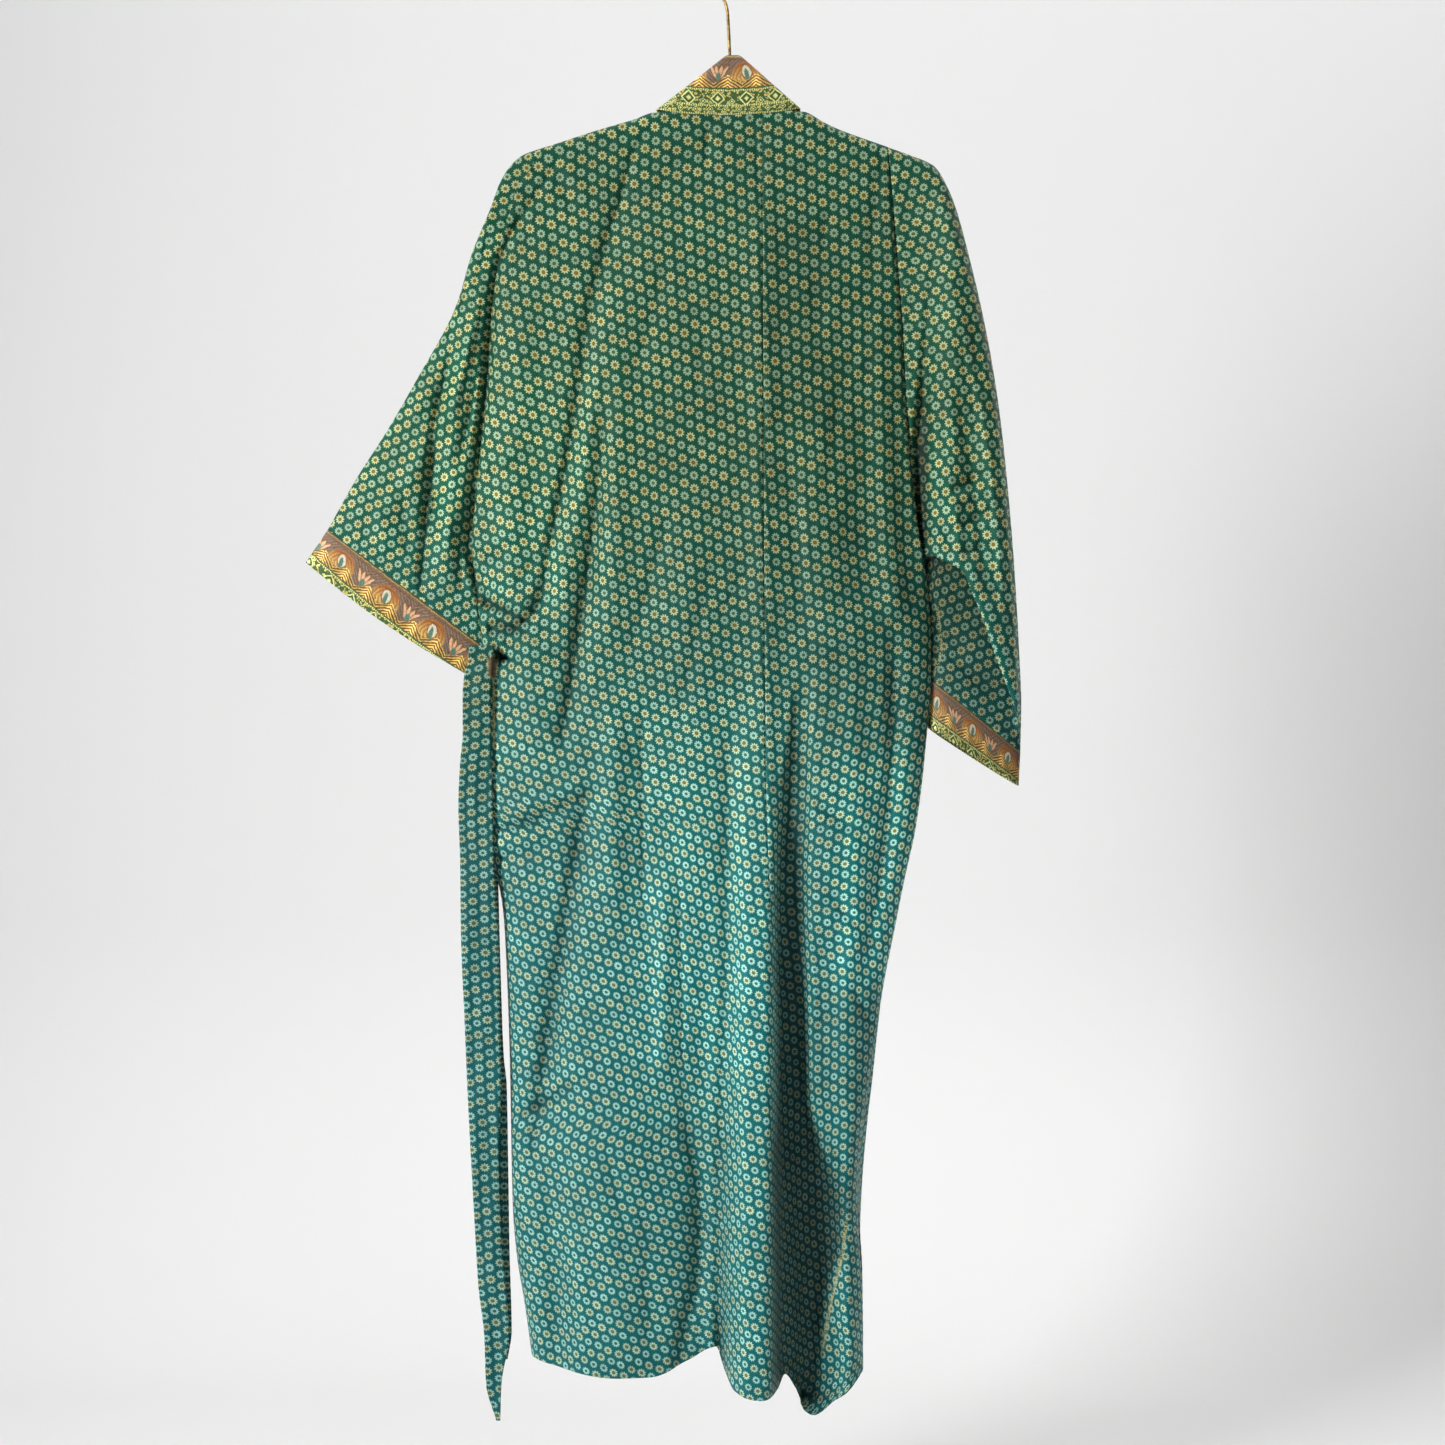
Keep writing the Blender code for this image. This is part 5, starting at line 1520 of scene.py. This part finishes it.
@dataclass
class Sleeve:
    """One sleeve: a tube from its armhole to its cuff seam, and the border cloth cuff."""

    side: Side
    form: BodyForm
    plan: SleevePlan
    overhang: tuple = ((150, 570), (192, 597), (231, 618), (249, 662), (264, 706), (289, 770))
    overhang_rise: float = 17.0
    overhang_lip: float = 8.0
    overhang_hides: float = 27.0
    overhang_tuck: float = 8.0
    darkest: float = -0.78
    seam: float = 0.2
    border_width: float = 62.0
    print_lean: float = 45.0
    under_lean: float = 46.0
    print_shrink: float = 0.9
    upper_shrink: float = 0.95
    upper_middle: float = 226.0

    def path(self, places: tuple, run: Array) -> Array:
        """Find the places along a folded edge at shares of its length."""
        points = np.array(places, dtype=float)
        lengths = running_total(np.hypot(*np.diff(points, axis=0).T), 0)
        return np.stack([SmoothCurve(lengths, column)(run * lengths[-1]) for column in points.T],
                        axis=-1)

    def turns(self) -> Array:
        """List the shares of a half turn from the top fold to the underarm."""
        top = np.linspace(0.0, 24.0, 16)
        rest = np.linspace(24.0, self.form.underarm, self.plan.half_turns - 15)[1:]
        return np.concatenate([top, rest]) / self.form.underarm

    def hole(self, facing: Facing) -> Array:
        """Follow one half of the armhole from the ridge down to the underarm."""
        along = self.turns() * self.form.underarm
        sides = (Side.LEFT, Side.RIGHT) if facing is Facing.BACK else (self.side, None)
        at_right_end = facing is Facing.BACK and self.side is Side.RIGHT
        share = np.full_like(along, 1.0 if at_right_end else 0.0)
        return self.form.panel(share, along, facing, sides, ())

    def leaning(self, x: Array, drop: Array, degrees: float) -> Array:
        """Place the print with its rows leaning by one angle all over."""
        lean = math.radians(degrees)
        return np.stack([x * math.sin(lean) - drop * math.cos(lean),
                         x * math.cos(lean) + drop * math.sin(lean)], axis=-1) / self.print_shrink

    def print_at(self, x: Array, drop: Array, under: Array) -> Array:
        """Place the print on the sleeve as the photograph shows it leaning.

        Args:
            x: Where each point lies across.
            drop: How far down each point lies.
            under: Which points lie on the cloth below the overhanging fold.

        Returns:
            The places in the flat cloth.
        """
        if self.side is Side.LEFT:
            return self.leaning(x, drop, self.print_lean)
        leans = curve_of(((150, 11), (265, 13), (345, 22), (445, 27), (545, 29), (645, 40),
                          (745, 50), (860, 55)))
        levels = np.arange(100.0, 900.0, 1.0)
        angles = np.radians(leans(levels))
        u_line = np.interp(drop, levels, np.cumsum(np.sin(angles)))
        v_line = np.interp(drop, levels, np.cumsum(np.cos(angles)))
        angle = np.radians(leans(drop))
        off = x - self.upper_middle
        upper = np.stack([u_line + off * np.cos(angle), v_line - off * np.sin(angle)],
                         axis=-1) / self.upper_shrink
        return np.where(under[..., None], self.leaning(x, drop, self.under_lean), upper)

    def fold_over(self, flat: Array, depth: Array, run: Array) -> tuple[Array, Array, Array]:
        """Fold the upper cloth over the lower along the overhang's line.

        Args:
            flat: The points' x and drop.
            depth: How far they stand out.
            run: The share of the sleeve's run at each point.

        Returns:
            The new x and drop, the new depths, and how far above the line each point lies.
        """
        line = even_walk(np.array(self.overhang, dtype=float), 60)
        gap = flat[..., None, :] - line
        nearest = np.argmin((gap ** 2).sum(axis=-1), axis=-1)
        ways = np.gradient(line, axis=0)
        ways /= np.linalg.norm(ways, axis=1, keepdims=True)
        way = ways[nearest]
        out = np.stack([way[..., 1], -way[..., 0]], axis=-1)
        offset = flat - line[nearest]
        above = (offset * out).sum(axis=-1)
        strength = ease((run - 0.02) / 0.14) * ease((0.995 - run) / 0.075)
        share = np.clip(-above / self.overhang_hides, 0.0, 1.0)
        turning = np.clip(share / 0.3, 0.0, 1.0)
        tuck = self.overhang_tuck
        slid = np.where(share < 0.3, tuck * np.sin(0.5 * math.pi * turning),
                        tuck - (tuck + self.overhang_hides) * (share - 0.3) / 0.7)
        moved = np.where((above < 0.0) & (above > -self.overhang_hides), slid - above, 0.0)
        lip = self.overhang_lip
        standing = (self.overhang_rise * ease((above + 40.0) / 50.0)
                    + lip * np.exp(-((above - 4.0) / 15.0) ** 2))
        at_line = self.overhang_rise * float(ease(np.array(0.8))) + lip * math.exp(-0.071)
        rise = np.where(above >= 0.0, standing, at_line * (1.0 - ease(share / 0.36)))
        sunk = 0.65 * ease(-above / 10.0) * (1.0 - ease((run - 0.7) / 0.3))
        flat = flat + out * (moved * strength)[..., None]
        return flat, depth * (1.0 - sunk * strength) + rise * strength, above

    def half(self, facing: Facing) -> tuple[Array, Array, Array]:
        """Loft one half of the sleeve from the armhole to the cuff seam.

        Args:
            facing: The half.

        Returns:
            Its points, a row for each ring, their places in the flat cloth and their light.
        """
        plan = self.plan
        outward = self.side.value
        hole = self.hole(facing)
        turn = self.turns()[None, :]
        run = ((np.arange(plan.rings + 1) / plan.rings) ** 1.25)[:, None]
        top, bottom = self.path(plan.top, run[:, 0]), self.path(plan.bottom, run[:, 0])
        level = hole[:, [0, 2]]
        bow = level - (level[0] + (level[-1] - level[0]) * turn[0][:, None])
        flat = (top[:, None] + (bottom - top)[:, None] * turn[..., None]
                + bow[None] * ((1.0 - run) ** 5)[..., None])
        leaving = ease((turn - 0.81) / 0.07)
        under = ease((turn - 0.20) / 0.12) * (1.0 - leaving)
        shift = 0.6 - 1.4 * leaving - 4.6 * under
        flat[..., 0] += outward * shift * (1.0 - run) ** np.where(shift > 0.0, 1.0, 7.0)
        deeper = 1.9 * ease((turn - 0.10) / 0.10) + 2.6 * ease((turn - 0.45) / 0.30)
        blend = ease(run / 0.7)
        at_fold = ease(turn / 0.012) * ease((1.0 - turn) / 0.012)
        depth = np.maximum(1.4 * at_fold, np.abs(hole[:, 1])[None] - deeper) * (1.0 - blend)
        depth = depth * np.minimum(at_fold * 4.0, 1.0)
        opening = plan.cuff_depths[0 if facing is Facing.BACK else 1]
        depth = depth + opening * np.sin(math.pi * turn) ** 0.45 * blend
        stepped = np.abs(np.diff(flat[..., 0], axis=1))
        turned = running_total(np.hypot(stepped, np.diff(depth, axis=1)) - stepped, 1)
        rise = np.zeros_like(depth)
        for run_start, run_end, turn_start, turn_end, width, height in plan.folds:
            share = np.clip((run - run_start) / (run_end - run_start), 0.0, 1.0)
            fade = ease(share / 0.3) * ease((1.0 - share) / 0.3)
            middle = turn_start + (turn_end - turn_start) * share
            rise = rise + height * fade * np.exp(-((turn - middle) / width) ** 2)
        rise = rise + lifted(SLEEVE_CREASES[self.side, facing], flat[..., 0], flat[..., 1])
        inner = ease(turn / 0.10) * ease((1.0 - turn) / 0.08)
        depth = np.maximum(depth + rise * inner, np.minimum(depth, -3.0))
        under_fold, fold_light = np.zeros(depth.shape, dtype=bool), 0.0
        placed = flat
        if facing is Facing.BACK and self.side is Side.RIGHT:
            placed, folded, above = self.fold_over(flat, depth, run + 0.0 * depth)
            under_fold = above < -3.0
            # Painted shadow under the overhanging fold, darkest near its edge and fading towards
            # the cuff, with a painted highlight along its lip.
            near_edge = np.exp(-np.clip(-above - 8.0, 0.0, None) / 20.0)
            dark = 0.36 + (0.60 - 0.42 * run) * near_edge
            fold_light = 0.10 * np.exp(-(above / 9.0) ** 2) - dark * ease((-3.0 - above) / 5.0)
            placed = flat + (placed - flat) * inner[..., None]
            depth = depth + (folded - depth) * inner
        laid = np.where(under_fold[..., None], placed, flat)
        printed = self.print_at(laid[..., 0] - outward * turned, laid[..., 1], under_fold)
        light = painted_fold_shade(SLEEVE_CREASES[self.side, facing], flat[..., 0], flat[..., 1])
        if facing is Facing.BACK:
            light = light + patched_light(SLEEVE_LIGHT[self.side], flat[..., 0], flat[..., 1])
        light = np.maximum(light + fold_light, self.darkest)
        points = np.stack([placed[..., 0], facing.value * depth, placed[..., 1]], axis=-1)
        return points, printed, light

    def cloth(self) -> ClothGrid:
        """Join the two halves into closed rings."""
        back, back_print, back_light = self.half(Facing.BACK)
        front, front_print, front_light = self.half(Facing.FRONT)
        points = np.concatenate([back, front[:, -2:0:-1]], axis=1)
        flat = np.concatenate([back_print, front_print[:, -2::-1]], axis=1)
        light = np.concatenate([back_light, front_light[:, -2:0:-1]], axis=1)
        return ClothGrid(points, flat, closed=True, light=light)

    def cuff(self, ring: Array) -> ClothGrid:
        """Carry the sleeve's last ring on as the cuff.

        Args:
            ring: The sleeve's last ring.

        Returns:
            The cuff's points and their places along and across the border.
        """
        way = np.array([self.plan.cuff_run[0], 0.0, self.plan.cuff_run[1]])
        way /= np.linalg.norm(way)
        reach = np.linspace(0.0, 1.0, 15)[:, None]
        count = len(self.turns())
        turn = np.concatenate([self.turns(), self.turns()[-2:0:-1]])
        top_width, low_width = self.plan.cuff_widths
        top_border, low_border = self.plan.border_shown
        width = top_width + (low_width - top_width) * turn
        width = width + self.plan.cuff_bow * np.sin(math.pi * turn)
        points = ring[None] + way * (self.seam + reach * width)[..., None]
        steps = np.linalg.norm(np.diff(ring, axis=0, append=ring[:1]), axis=1)
        walked = running_total(steps, 0)
        back = walked[:count]
        front = walked[count:] - walked[-1]
        along = np.concatenate([back, front])
        ripple = 0.9 * np.sin(along[:-1] / 14.0) * np.sin(along[:-1] / 37.0 + 1.0)
        points[..., 1] += ripple * reach * np.sign(ring[:, 1])
        turn = np.append(turn, turn[0])
        across = self.border_width - reach * (top_border + (low_border - top_border) * turn)
        along = along * self.plan.border_spread + self.plan.border_start
        flat = np.stack(np.broadcast_arrays(along[None, :], across), axis=-1)
        # The cuff's painted shade, the same all over.
        light = np.full(points.shape[:2], self.plan.cuff_light)
        return ClothGrid(points, flat, closed=True, light=light)

    def build(self, silk: bpy.types.Material, border: bpy.types.Material) -> None:
        """Build the sleeve and its cuff.

        Args:
            silk: The sleeve's finish.
            border: The cuff's finish.
        """
        name = self.side.name.lower()
        cloth = self.cloth()
        sleeve = sheet_object(f"silk_{name}_sleeve", cloth, SILK_THICKNESS, silk)
        settle(sleeve, Slot.SILK, f"{name}_sleeve")
        width, length, area = self.plan.cut
        cuff = sheet_object(f"border_{name}_cuff", self.cuff(cloth.points[-1]), BORDER_THICKNESS,
                            border)
        settle(cuff, Slot.BORDER, f"{name}_cuff")


@dataclass
class Neckband:
    """The band of border cloth, up one front, round the back of the neck and down the other."""

    form: BodyForm
    width: float = 60.0
    stands_out: float = 1.0
    leans: float = -2.0
    seam: float = 0.15
    front_top: float = 200.0
    border_width: float = 62.0
    border_start: float = 14.5
    neck_reach: float = 130.0
    ruffled_reach: float = 190.0
    rows: int = 760
    columns: int = 17
    crown: float = 1.3
    left_turn: tuple = (
        (-72.5, 9, 172, -11, 8.5, 150), (-72, 6, 158, -8, 7, 118), (-72.5, 0, 155, -5, 3, 103),
        (-70, -6, 156, -4, -3.5, 102.5),
    )
    right_turn: tuple = (
        (69, -6, 155, 12, -3.5, 102.5), (71.5, 0, 154, 13, 3, 103), (71, 6, 157, 13, 7, 118),
        (71.5, 9, 171, 13, 8.5, 150),
    )
    back_start: tuple = (-62, -9, 160, -2, -4.5, 101.5)
    back_end: tuple = (61, -9, 160, 10, -4.5, 101.5)

    def front_rows(self, side: Side) -> list[Array]:
        """List the seam and the free edge of one front's band from the hem up."""
        form = self.form
        line = curve_of(form.left_band if side is Side.LEFT else form.right_band)
        way = -side.value
        rows = []
        for step in range(25):
            share = (step / 24.0) ** 0.8
            drop = form.front_hem - (form.front_hem - self.front_top) * share
            x = float(line(np.array(drop))) + way * self.seam
            depth = float(curve_of(form.depths, 0, 2)(np.array(drop))) + self.stands_out
            rows.append(np.array([x, depth, drop, x + way * self.width, depth + self.leans, drop]))
        return rows

    def back_rows(self) -> list[Array]:
        """List the seam and the free edge round the back of the neck."""
        first, last = np.array(self.back_start, float), np.array(self.back_end, float)
        rows = []
        for step in range(1, 8):
            row = first + (last - first) * step / 8.0
            row[2] = float(curve_of(self.form.ridge)(np.array(row[0]))) - 0.3
            rows.append(row)
        return rows

    def cloth(self) -> ClothGrid:
        """Lay the band's points out along its whole run."""
        left, right = self.front_rows(Side.LEFT), self.front_rows(Side.RIGHT)
        rows = np.array(left + [np.array(row, float) for row in self.left_turn]
                        + self.back_rows() + [np.array(row, float) for row in self.right_turn]
                        + right[::-1])
        steps = 0.5 * (np.linalg.norm(np.diff(rows[:, :3], axis=0), axis=1)
                       + np.linalg.norm(np.diff(rows[:, 3:], axis=0), axis=1))
        along = running_total(steps, 0)
        places = np.linspace(0.0, along[-1], self.rows)
        dense = np.stack([SmoothCurve(along, column)(places) for column in rows.T], axis=1)
        share = np.linspace(0.0, 1.0, self.columns)[None, :, None]
        points = dense[:, None, :3] * (1.0 - share) + dense[:, None, 3:] * share
        middle = 0.5 * along[-1]
        at_neck = np.exp(-((places - middle) / self.ruffled_reach) ** 2)[:, None]
        share = share[..., 0]
        crown = self.crown * np.clip(4.0 * share * (1.0 - share), 0.0, 1.0) ** 0.6
        wave = (0.9 * np.sin(places / 23.0) + 0.6 * np.sin(places / 9.7 + 2.0))[:, None]
        bulge = crown + (0.35 + 0.5 * at_neck) * wave * np.sin(math.pi * share)
        facing = np.where(points[..., 1] >= 0.0, 1.0, -1.0)
        steep = np.clip(np.abs(points[..., 1]) / 4.0, 0.0, 1.0)
        points[..., 1] += facing * steep * bulge
        walked = running_total(np.linalg.norm(np.diff(points, axis=0), axis=-1), 0)
        walked = walked - walked[self.rows // 2]
        off = (places - places[self.rows // 2])[:, None]
        off = off + np.exp(-(off / self.neck_reach) ** 2) * (walked - off) + self.border_start
        flat = np.stack(np.broadcast_arrays(off, share * self.border_width), axis=-1)
        return ClothGrid(points, flat)

    def build(self, border: bpy.types.Material) -> None:
        """Build the band."""
        piece = sheet_object("border_neckband", self.cloth(), BORDER_THICKNESS, border)
        settle(piece, Slot.BORDER, "neckband")


@dataclass
class Belt:
    """The long belt, doubled over its loop at the left side, with both ends hanging."""

    bend: float = 2.7
    # Painted shade over the whole belt.
    painted_belt_shade: float = -0.24
    print_left: float = 3.0
    print_shrink: float = 0.86
    rows: int = 230
    columns: int = 13
    near: tuple = (
        (694, -257.5, -233, -22), (706, -258.5, -234.5, -21.5), (718, -262, -235, -21),
        (740, -264, -236, -20), (775, -264, -236, -19), (812, -267, -235.5, -18),
        (850, -268.5, -234.5, -17), (900, -267, -233, -17), (975, -266, -229, -16),
        (1075, -262, -227, -16), (1125, -260, -226, -16), (1200, -256, -228, -16),
        (1275, -252, -226, -16), (1325, -249, -222, -16), (1375, -243, -218, -16),
        (1425, -241, -226, -16), (1460, -231, -227, -16)
    )
    far: tuple = (
        (694, -257, -233, -22), (706, -258, -233, -20), (775, -260, -232.5, -12),
        (875, -258, -231.5, -10), (975, -254, -229, -9), (1100, -250, -225, -8),
        (1130, -248, -222, -8), (1300, -246, -219, -8), (1375, -240, -217, -8),
        (1403, -226, -221, -8)
    )

    def strand(self, table: tuple, side: float) -> Array:
        """List one strand's edges, depth and drop from the bend to the tip."""
        drops = np.linspace(table[0][0], table[-1][0], self.rows)
        left, right, y = (curve_of(table, 0, column)(drops) for column in (1, 2, 3))
        return np.stack([left, right, y + side * self.bend, drops], axis=1)

    def cloth(self) -> ClothGrid:
        """Run the belt from its near tip up over the loop and down to its far tip."""
        near, far = self.strand(self.near, -1.0), self.strand(self.far, 1.0)
        angles = np.linspace(0.0, math.pi, 12)[1:-1, None]
        share = angles / math.pi
        first, last = near[0], far[0]
        bend = np.concatenate([
            first[:2] + (last[:2] - first[:2]) * share,
            0.5 * (first[2] + last[2]) - self.bend * np.cos(angles),
            first[3] - self.bend * np.sin(angles)], axis=1)
        rows = np.concatenate([near[::-1], bend, far])
        share = np.linspace(0.0, 1.0, self.columns)[None, :]
        x = rows[:, :1] + (rows[:, 1:2] - rows[:, :1]) * share
        drop = rows[:, 3:] * np.ones_like(share)
        count = len(near)
        outward = np.concatenate([-np.ones(count), np.zeros(len(bend)), np.ones(len(far))])
        ripple = (0.8 * np.sin(x / 3.1 + drop / 61.0) + 0.7 * np.sin(drop / 33.0 + x / 9.0)
                  + 0.5 * np.cos(x / 5.0 - drop / 27.0))
        room = np.minimum(ease((drop - 700.0) / 30.0), 1.0)
        y = rows[:, 2:3] + outward[:, None] * (0.9 + 0.6 * ripple) * room
        points = np.stack([x, y * np.ones_like(share), drop], axis=-1)
        lengths = running_total(np.linalg.norm(np.diff(rows[:, 2:], axis=0), axis=1), 0)
        down = (lengths / self.print_shrink)[:, None]
        flat = np.stack(np.broadcast_arrays(x - x[:, :1] + self.print_left, down), axis=-1)
        return ClothGrid(points, flat, light=np.full(x.shape, self.painted_belt_shade))

    def build(self, silk: bpy.types.Material, loop: bpy.types.Object) -> None:
        """Build the belt, hung over its loop.

        Args:
            silk: The belt's finish.
            loop: Not used.
        """
        piece = sheet_object("silk_belt", self.cloth(), 2.0 * SILK_THICKNESS, silk)
        settle(piece, Slot.SILK, "belt")


def frames_along(path: Array) -> tuple[Array, Array]:
    """Carry two directions across a path along it, without letting them twist.

    Args:
        path: The path's points.

    Returns:
        The two directions at each point.
    """
    ways = np.gradient(path, axis=0)
    ways /= np.linalg.norm(ways, axis=1, keepdims=True)
    side = np.cross(ways[0], (0.0, 1.0, 0.01))
    sides_out = []
    for way in ways:
        side = side - way * side.dot(way)
        side /= np.linalg.norm(side)
        sides_out.append(side)
    first = np.array(sides_out)
    return first, np.cross(ways, first)


def tube(name: str, path: Array, radius: Array, sides: int,
         material: bpy.types.Material) -> bpy.types.Object:
    """Sweep a round section along a path, with closed round ends.

    Args:
        name: The new object's name.
        path: The middle's points in metres.
        radius: The radius at each point in metres.
        sides: How many sides the section has.
        material: Its finish.

    Returns:
        The new object.
    """
    first, second = frames_along(path)
    turn = 2.0 * math.pi * np.arange(sides) / sides
    round_way = (np.cos(turn)[None, :, None] * first[:, None]
                 + np.sin(turn)[None, :, None] * second[:, None])
    points = (path[:, None] + round_way * radius[:, None, None]).reshape(-1, 3)
    rows = len(path)
    row, column = np.arange(rows - 1)[:, None], np.arange(sides)[None, :]
    beside = (column + 1) % sides
    faces = np.stack([row * sides + column, (row + 1) * sides + column,
                      (row + 1) * sides + beside, row * sides + beside], axis=-1).reshape(-1, 4)
    listed = faces.tolist() + [list(range(sides)),
                               list(range((rows - 1) * sides, rows * sides))[::-1]]
    made = smooth_piece(name, points, listed, material)
    bpy.ops.object.select_all(action="DESELECT")
    made.select_set(True)
    bpy.context.view_layer.objects.active = made
    bpy.ops.object.mode_set(mode="EDIT")
    bpy.ops.mesh.select_all(action="SELECT")
    bpy.ops.mesh.normals_make_consistent(inside=False)
    bpy.ops.object.mode_set(mode="OBJECT")
    return made


@dataclass
class Hanger:
    """The wooden arms, kept as the model has them, and the wire hook that hangs them."""

    wire: float = 1.5
    radius: float = 19.0
    start_turn: float = 222.0
    sweep: float = 244.0
    stem: tuple = ((1, 137.9), (1, 104), (0, 80), (-1.5, 55), (-3.5, 47), (-7.5, 41.5))

    def wire_path(self) -> Array:
        """Follow the wire from the arms up its stem and round the hook."""
        centre = self.radius - self.wire
        turns = np.radians(self.start_turn - self.sweep * np.linspace(0.0, 1.0, 60))
        hook = np.stack([self.radius * np.cos(turns), np.zeros(60),
                         centre - self.radius * np.sin(turns)], axis=1)
        levels = np.array([(x, 0.0, drop) for x, drop in self.stem])
        stem = even_walk(levels, 30)
        return calmed(even_walk(np.concatenate([stem[:-1], hook]), 140), 12) * TO_METRES

    def build(self, arms: bpy.types.Object, wood: bpy.types.Material,
              brass: bpy.types.Material) -> None:
        """Give the arms their varnish and make the wire hook.

        Args:
            arms: The model's own arms.
            wood: Their finish.
            brass: The wire's finish.
        """
        arms.data.materials.clear()
        arms.data.materials.append(wood)
        path = self.wire_path()
        from_tip = np.arange(len(path))[::-1].astype(float)
        radius = self.wire * MM * np.clip(np.sqrt(1.0 - (1.0 - np.clip(from_tip / 1.4, 0, 1)) ** 2),
                                          0.25, 1.0)
        hook = tube("brassed_wire_hook", path, radius, 16, brass)
        settle(hook, Slot.WIRE, "hanger_hook")


@dataclass
class BeltLoop:
    """The loop of twisted thread, sewn into the left side seam, that carries the belt.

    It runs through the belt's fold and back behind it.
    """

    strand: float = 0.56
    offset: float = 0.6
    twist: float = 7.0
    strands: int = 3
    places: tuple = (
        (-235, -7.5, 694.6), (-237.5, -15.5, 693.7), (-240.5, -20.6, 693.5), (-246, -22, 693.5),
        (-255.5, -22, 693.5), (-259, -21.4, 693.6), (-260.6, -19.3, 694.2), (-259, -17, 695),
        (-254, -16.3, 695.6), (-246, -14.6, 695.8), (-240, -9.6, 695.6), (-236.5, -4.5, 695.2)
    )

    def run(self) -> Array:
        """Follow the middle of the loop smoothly from one foot to the other, in metres."""
        path = calmed(even_walk(np.array(self.places), 150), 30)
        return even_walk(path, 150) * TO_METRES

    def build(self, thread: bpy.types.Material) -> bpy.types.Object:
        """Twist the strands round the loop's run and join them.

        Args:
            thread: The strands' finish.

        Returns:
            The finished loop.
        """
        path = self.run()
        first, second = frames_along(path)
        walked = running_total(np.linalg.norm(np.diff(path, axis=0), axis=1), 0)
        made = []
        for number in range(self.strands):
            turn = 2.0 * math.pi * (walked / (self.twist * MM) + number / self.strands)
            away = np.cos(turn)[:, None] * first + np.sin(turn)[:, None] * second
            radius = np.full(len(path), self.strand * MM)
            made.append(tube("twisted_thread_loop", path + self.offset * MM * away, radius, 10,
                             thread))
        bpy.ops.object.select_all(action="DESELECT")
        for strand in made:
            strand.select_set(True)
        loop = made[0]
        bpy.context.view_layer.objects.active = loop
        bpy.ops.object.join()
        settle(loop, Slot.SILK, "belt_loop")
        return loop


@dataclass
class Studio:
    """The pale paper sweep, the soft lights and the camera at the photograph's place."""

    eye: tuple[float, float, float] = (-0.0065, -2.55, -0.7675)
    sensor: float = 36.0
    picture: float = 1.445
    floor: float = -1.60
    wall: float = 1.15
    bend: float = 0.55
    half_width: float = 3.6
    front: float = -3.4
    top: float = 2.2
    room_light: float = 0.06

    def sweep(self, paper: bpy.types.Material) -> None:
        """Hang the seamless paper: floor, bend and wall in one sheet."""
        turns = np.linspace(0.0, 0.5 * math.pi, 24)
        profile = [(self.front, self.floor)]
        profile += [(self.wall - self.bend + self.bend * math.sin(turn),
                     self.floor + self.bend - self.bend * math.cos(turn)) for turn in turns]
        profile.append((self.wall, self.top))
        points = [(x, y, z) for y, z in profile for x in (-self.half_width, self.half_width)]
        starts = range(0, 2 * len(profile) - 2, 2)
        faces = [(start, start + 1, start + 3, start + 2) for start in starts]
        smooth_piece("paper_sweep", points, faces, paper)

    def softbox(self, name: str, place: tuple[float, float, float],
                aim: tuple[float, float, float], size: tuple[float, float], power: float,
                spread: float = 180.0) -> None:
        """Hang one rectangular soft light.

        Args:
            name: The light's name.
            place: Where it hangs.
            aim: What it is turned towards.
            size: Its width and height.
            power: Its power in watts.
            spread: How wide its beam is in degrees.
        """
        lamp = bpy.data.lights.new(name, "AREA")
        lamp.shape = "RECTANGLE"
        lamp.size, lamp.size_y = size
        lamp.energy = power
        lamp.spread = math.radians(spread)
        box = placed(name, lamp)
        way = np.array(aim) - np.array(place)
        flat = math.hypot(way[0], way[1])
        box.location = place
        box.rotation_euler = (math.atan2(flat, -way[2]), 0.0, math.atan2(way[0], -way[1]) + math.pi)

    def build(self, paper: bpy.types.Material) -> None:
        """Set up the paper, the lights, the room's own light and the camera."""
        self.sweep(paper)
        self.softbox("key_softbox", (-2.5, -2.1, -0.2), (0.0, 0.0, -0.9), (0.9, 1.8), 27.0,
                     80.0)
        self.softbox("fill_softbox", (1.2, -2.9, 0.2), (0.0, 0.0, -0.8), (1.4, 1.8), 6.0)
        self.softbox("paper_light", (0.9, -0.2, 2.1), (0.9, 1.15, -0.75), (6.4, 0.6), 84.0)
        world = bpy.data.worlds.new("pale_room")
        world.use_nodes = True
        background = world.node_tree.nodes["Background"].inputs
        background["Color"].default_value = (1.0, 1.0, 1.0, 1.0)
        background["Strength"].default_value = self.room_light
        bpy.context.scene.world = world
        bpy.context.scene.view_settings.view_transform = "Standard"
        camera = bpy.data.cameras.new("camera")
        camera.sensor_width = self.sensor
        camera.lens = self.sensor * -self.eye[1] / self.picture
        stand = placed("camera", camera)
        stand.location = self.eye
        stand.rotation_euler = (0.5 * math.pi, 0.0, 0.0)
        bpy.context.scene.camera = stand


def main() -> None:
    """Build every piece in the order that it is made up and hung."""
    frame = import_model()
    nodes = frame["nodes"]
    silk = PrintedSilk().make()
    border = BorderCloth().make()
    form = BodyForm()
    Body(form, PrintScale()).build(silk)
    for side, plan in SLEEVE_PLANS.items():
        Sleeve(side, form, plan).build(silk, border)
    Neckband(form).build(border)
    Belt().build(silk, BeltLoop().build(CottonThread().make()))
    Hanger().build(nodes["hanger_arms"], VarnishedBeech().make(), BrassedWire().make())
    Studio().build(PaperSweep().make())


if __name__ == "__main__":
    logging.basicConfig(level=logging.INFO, format="%(message)s")
    main()
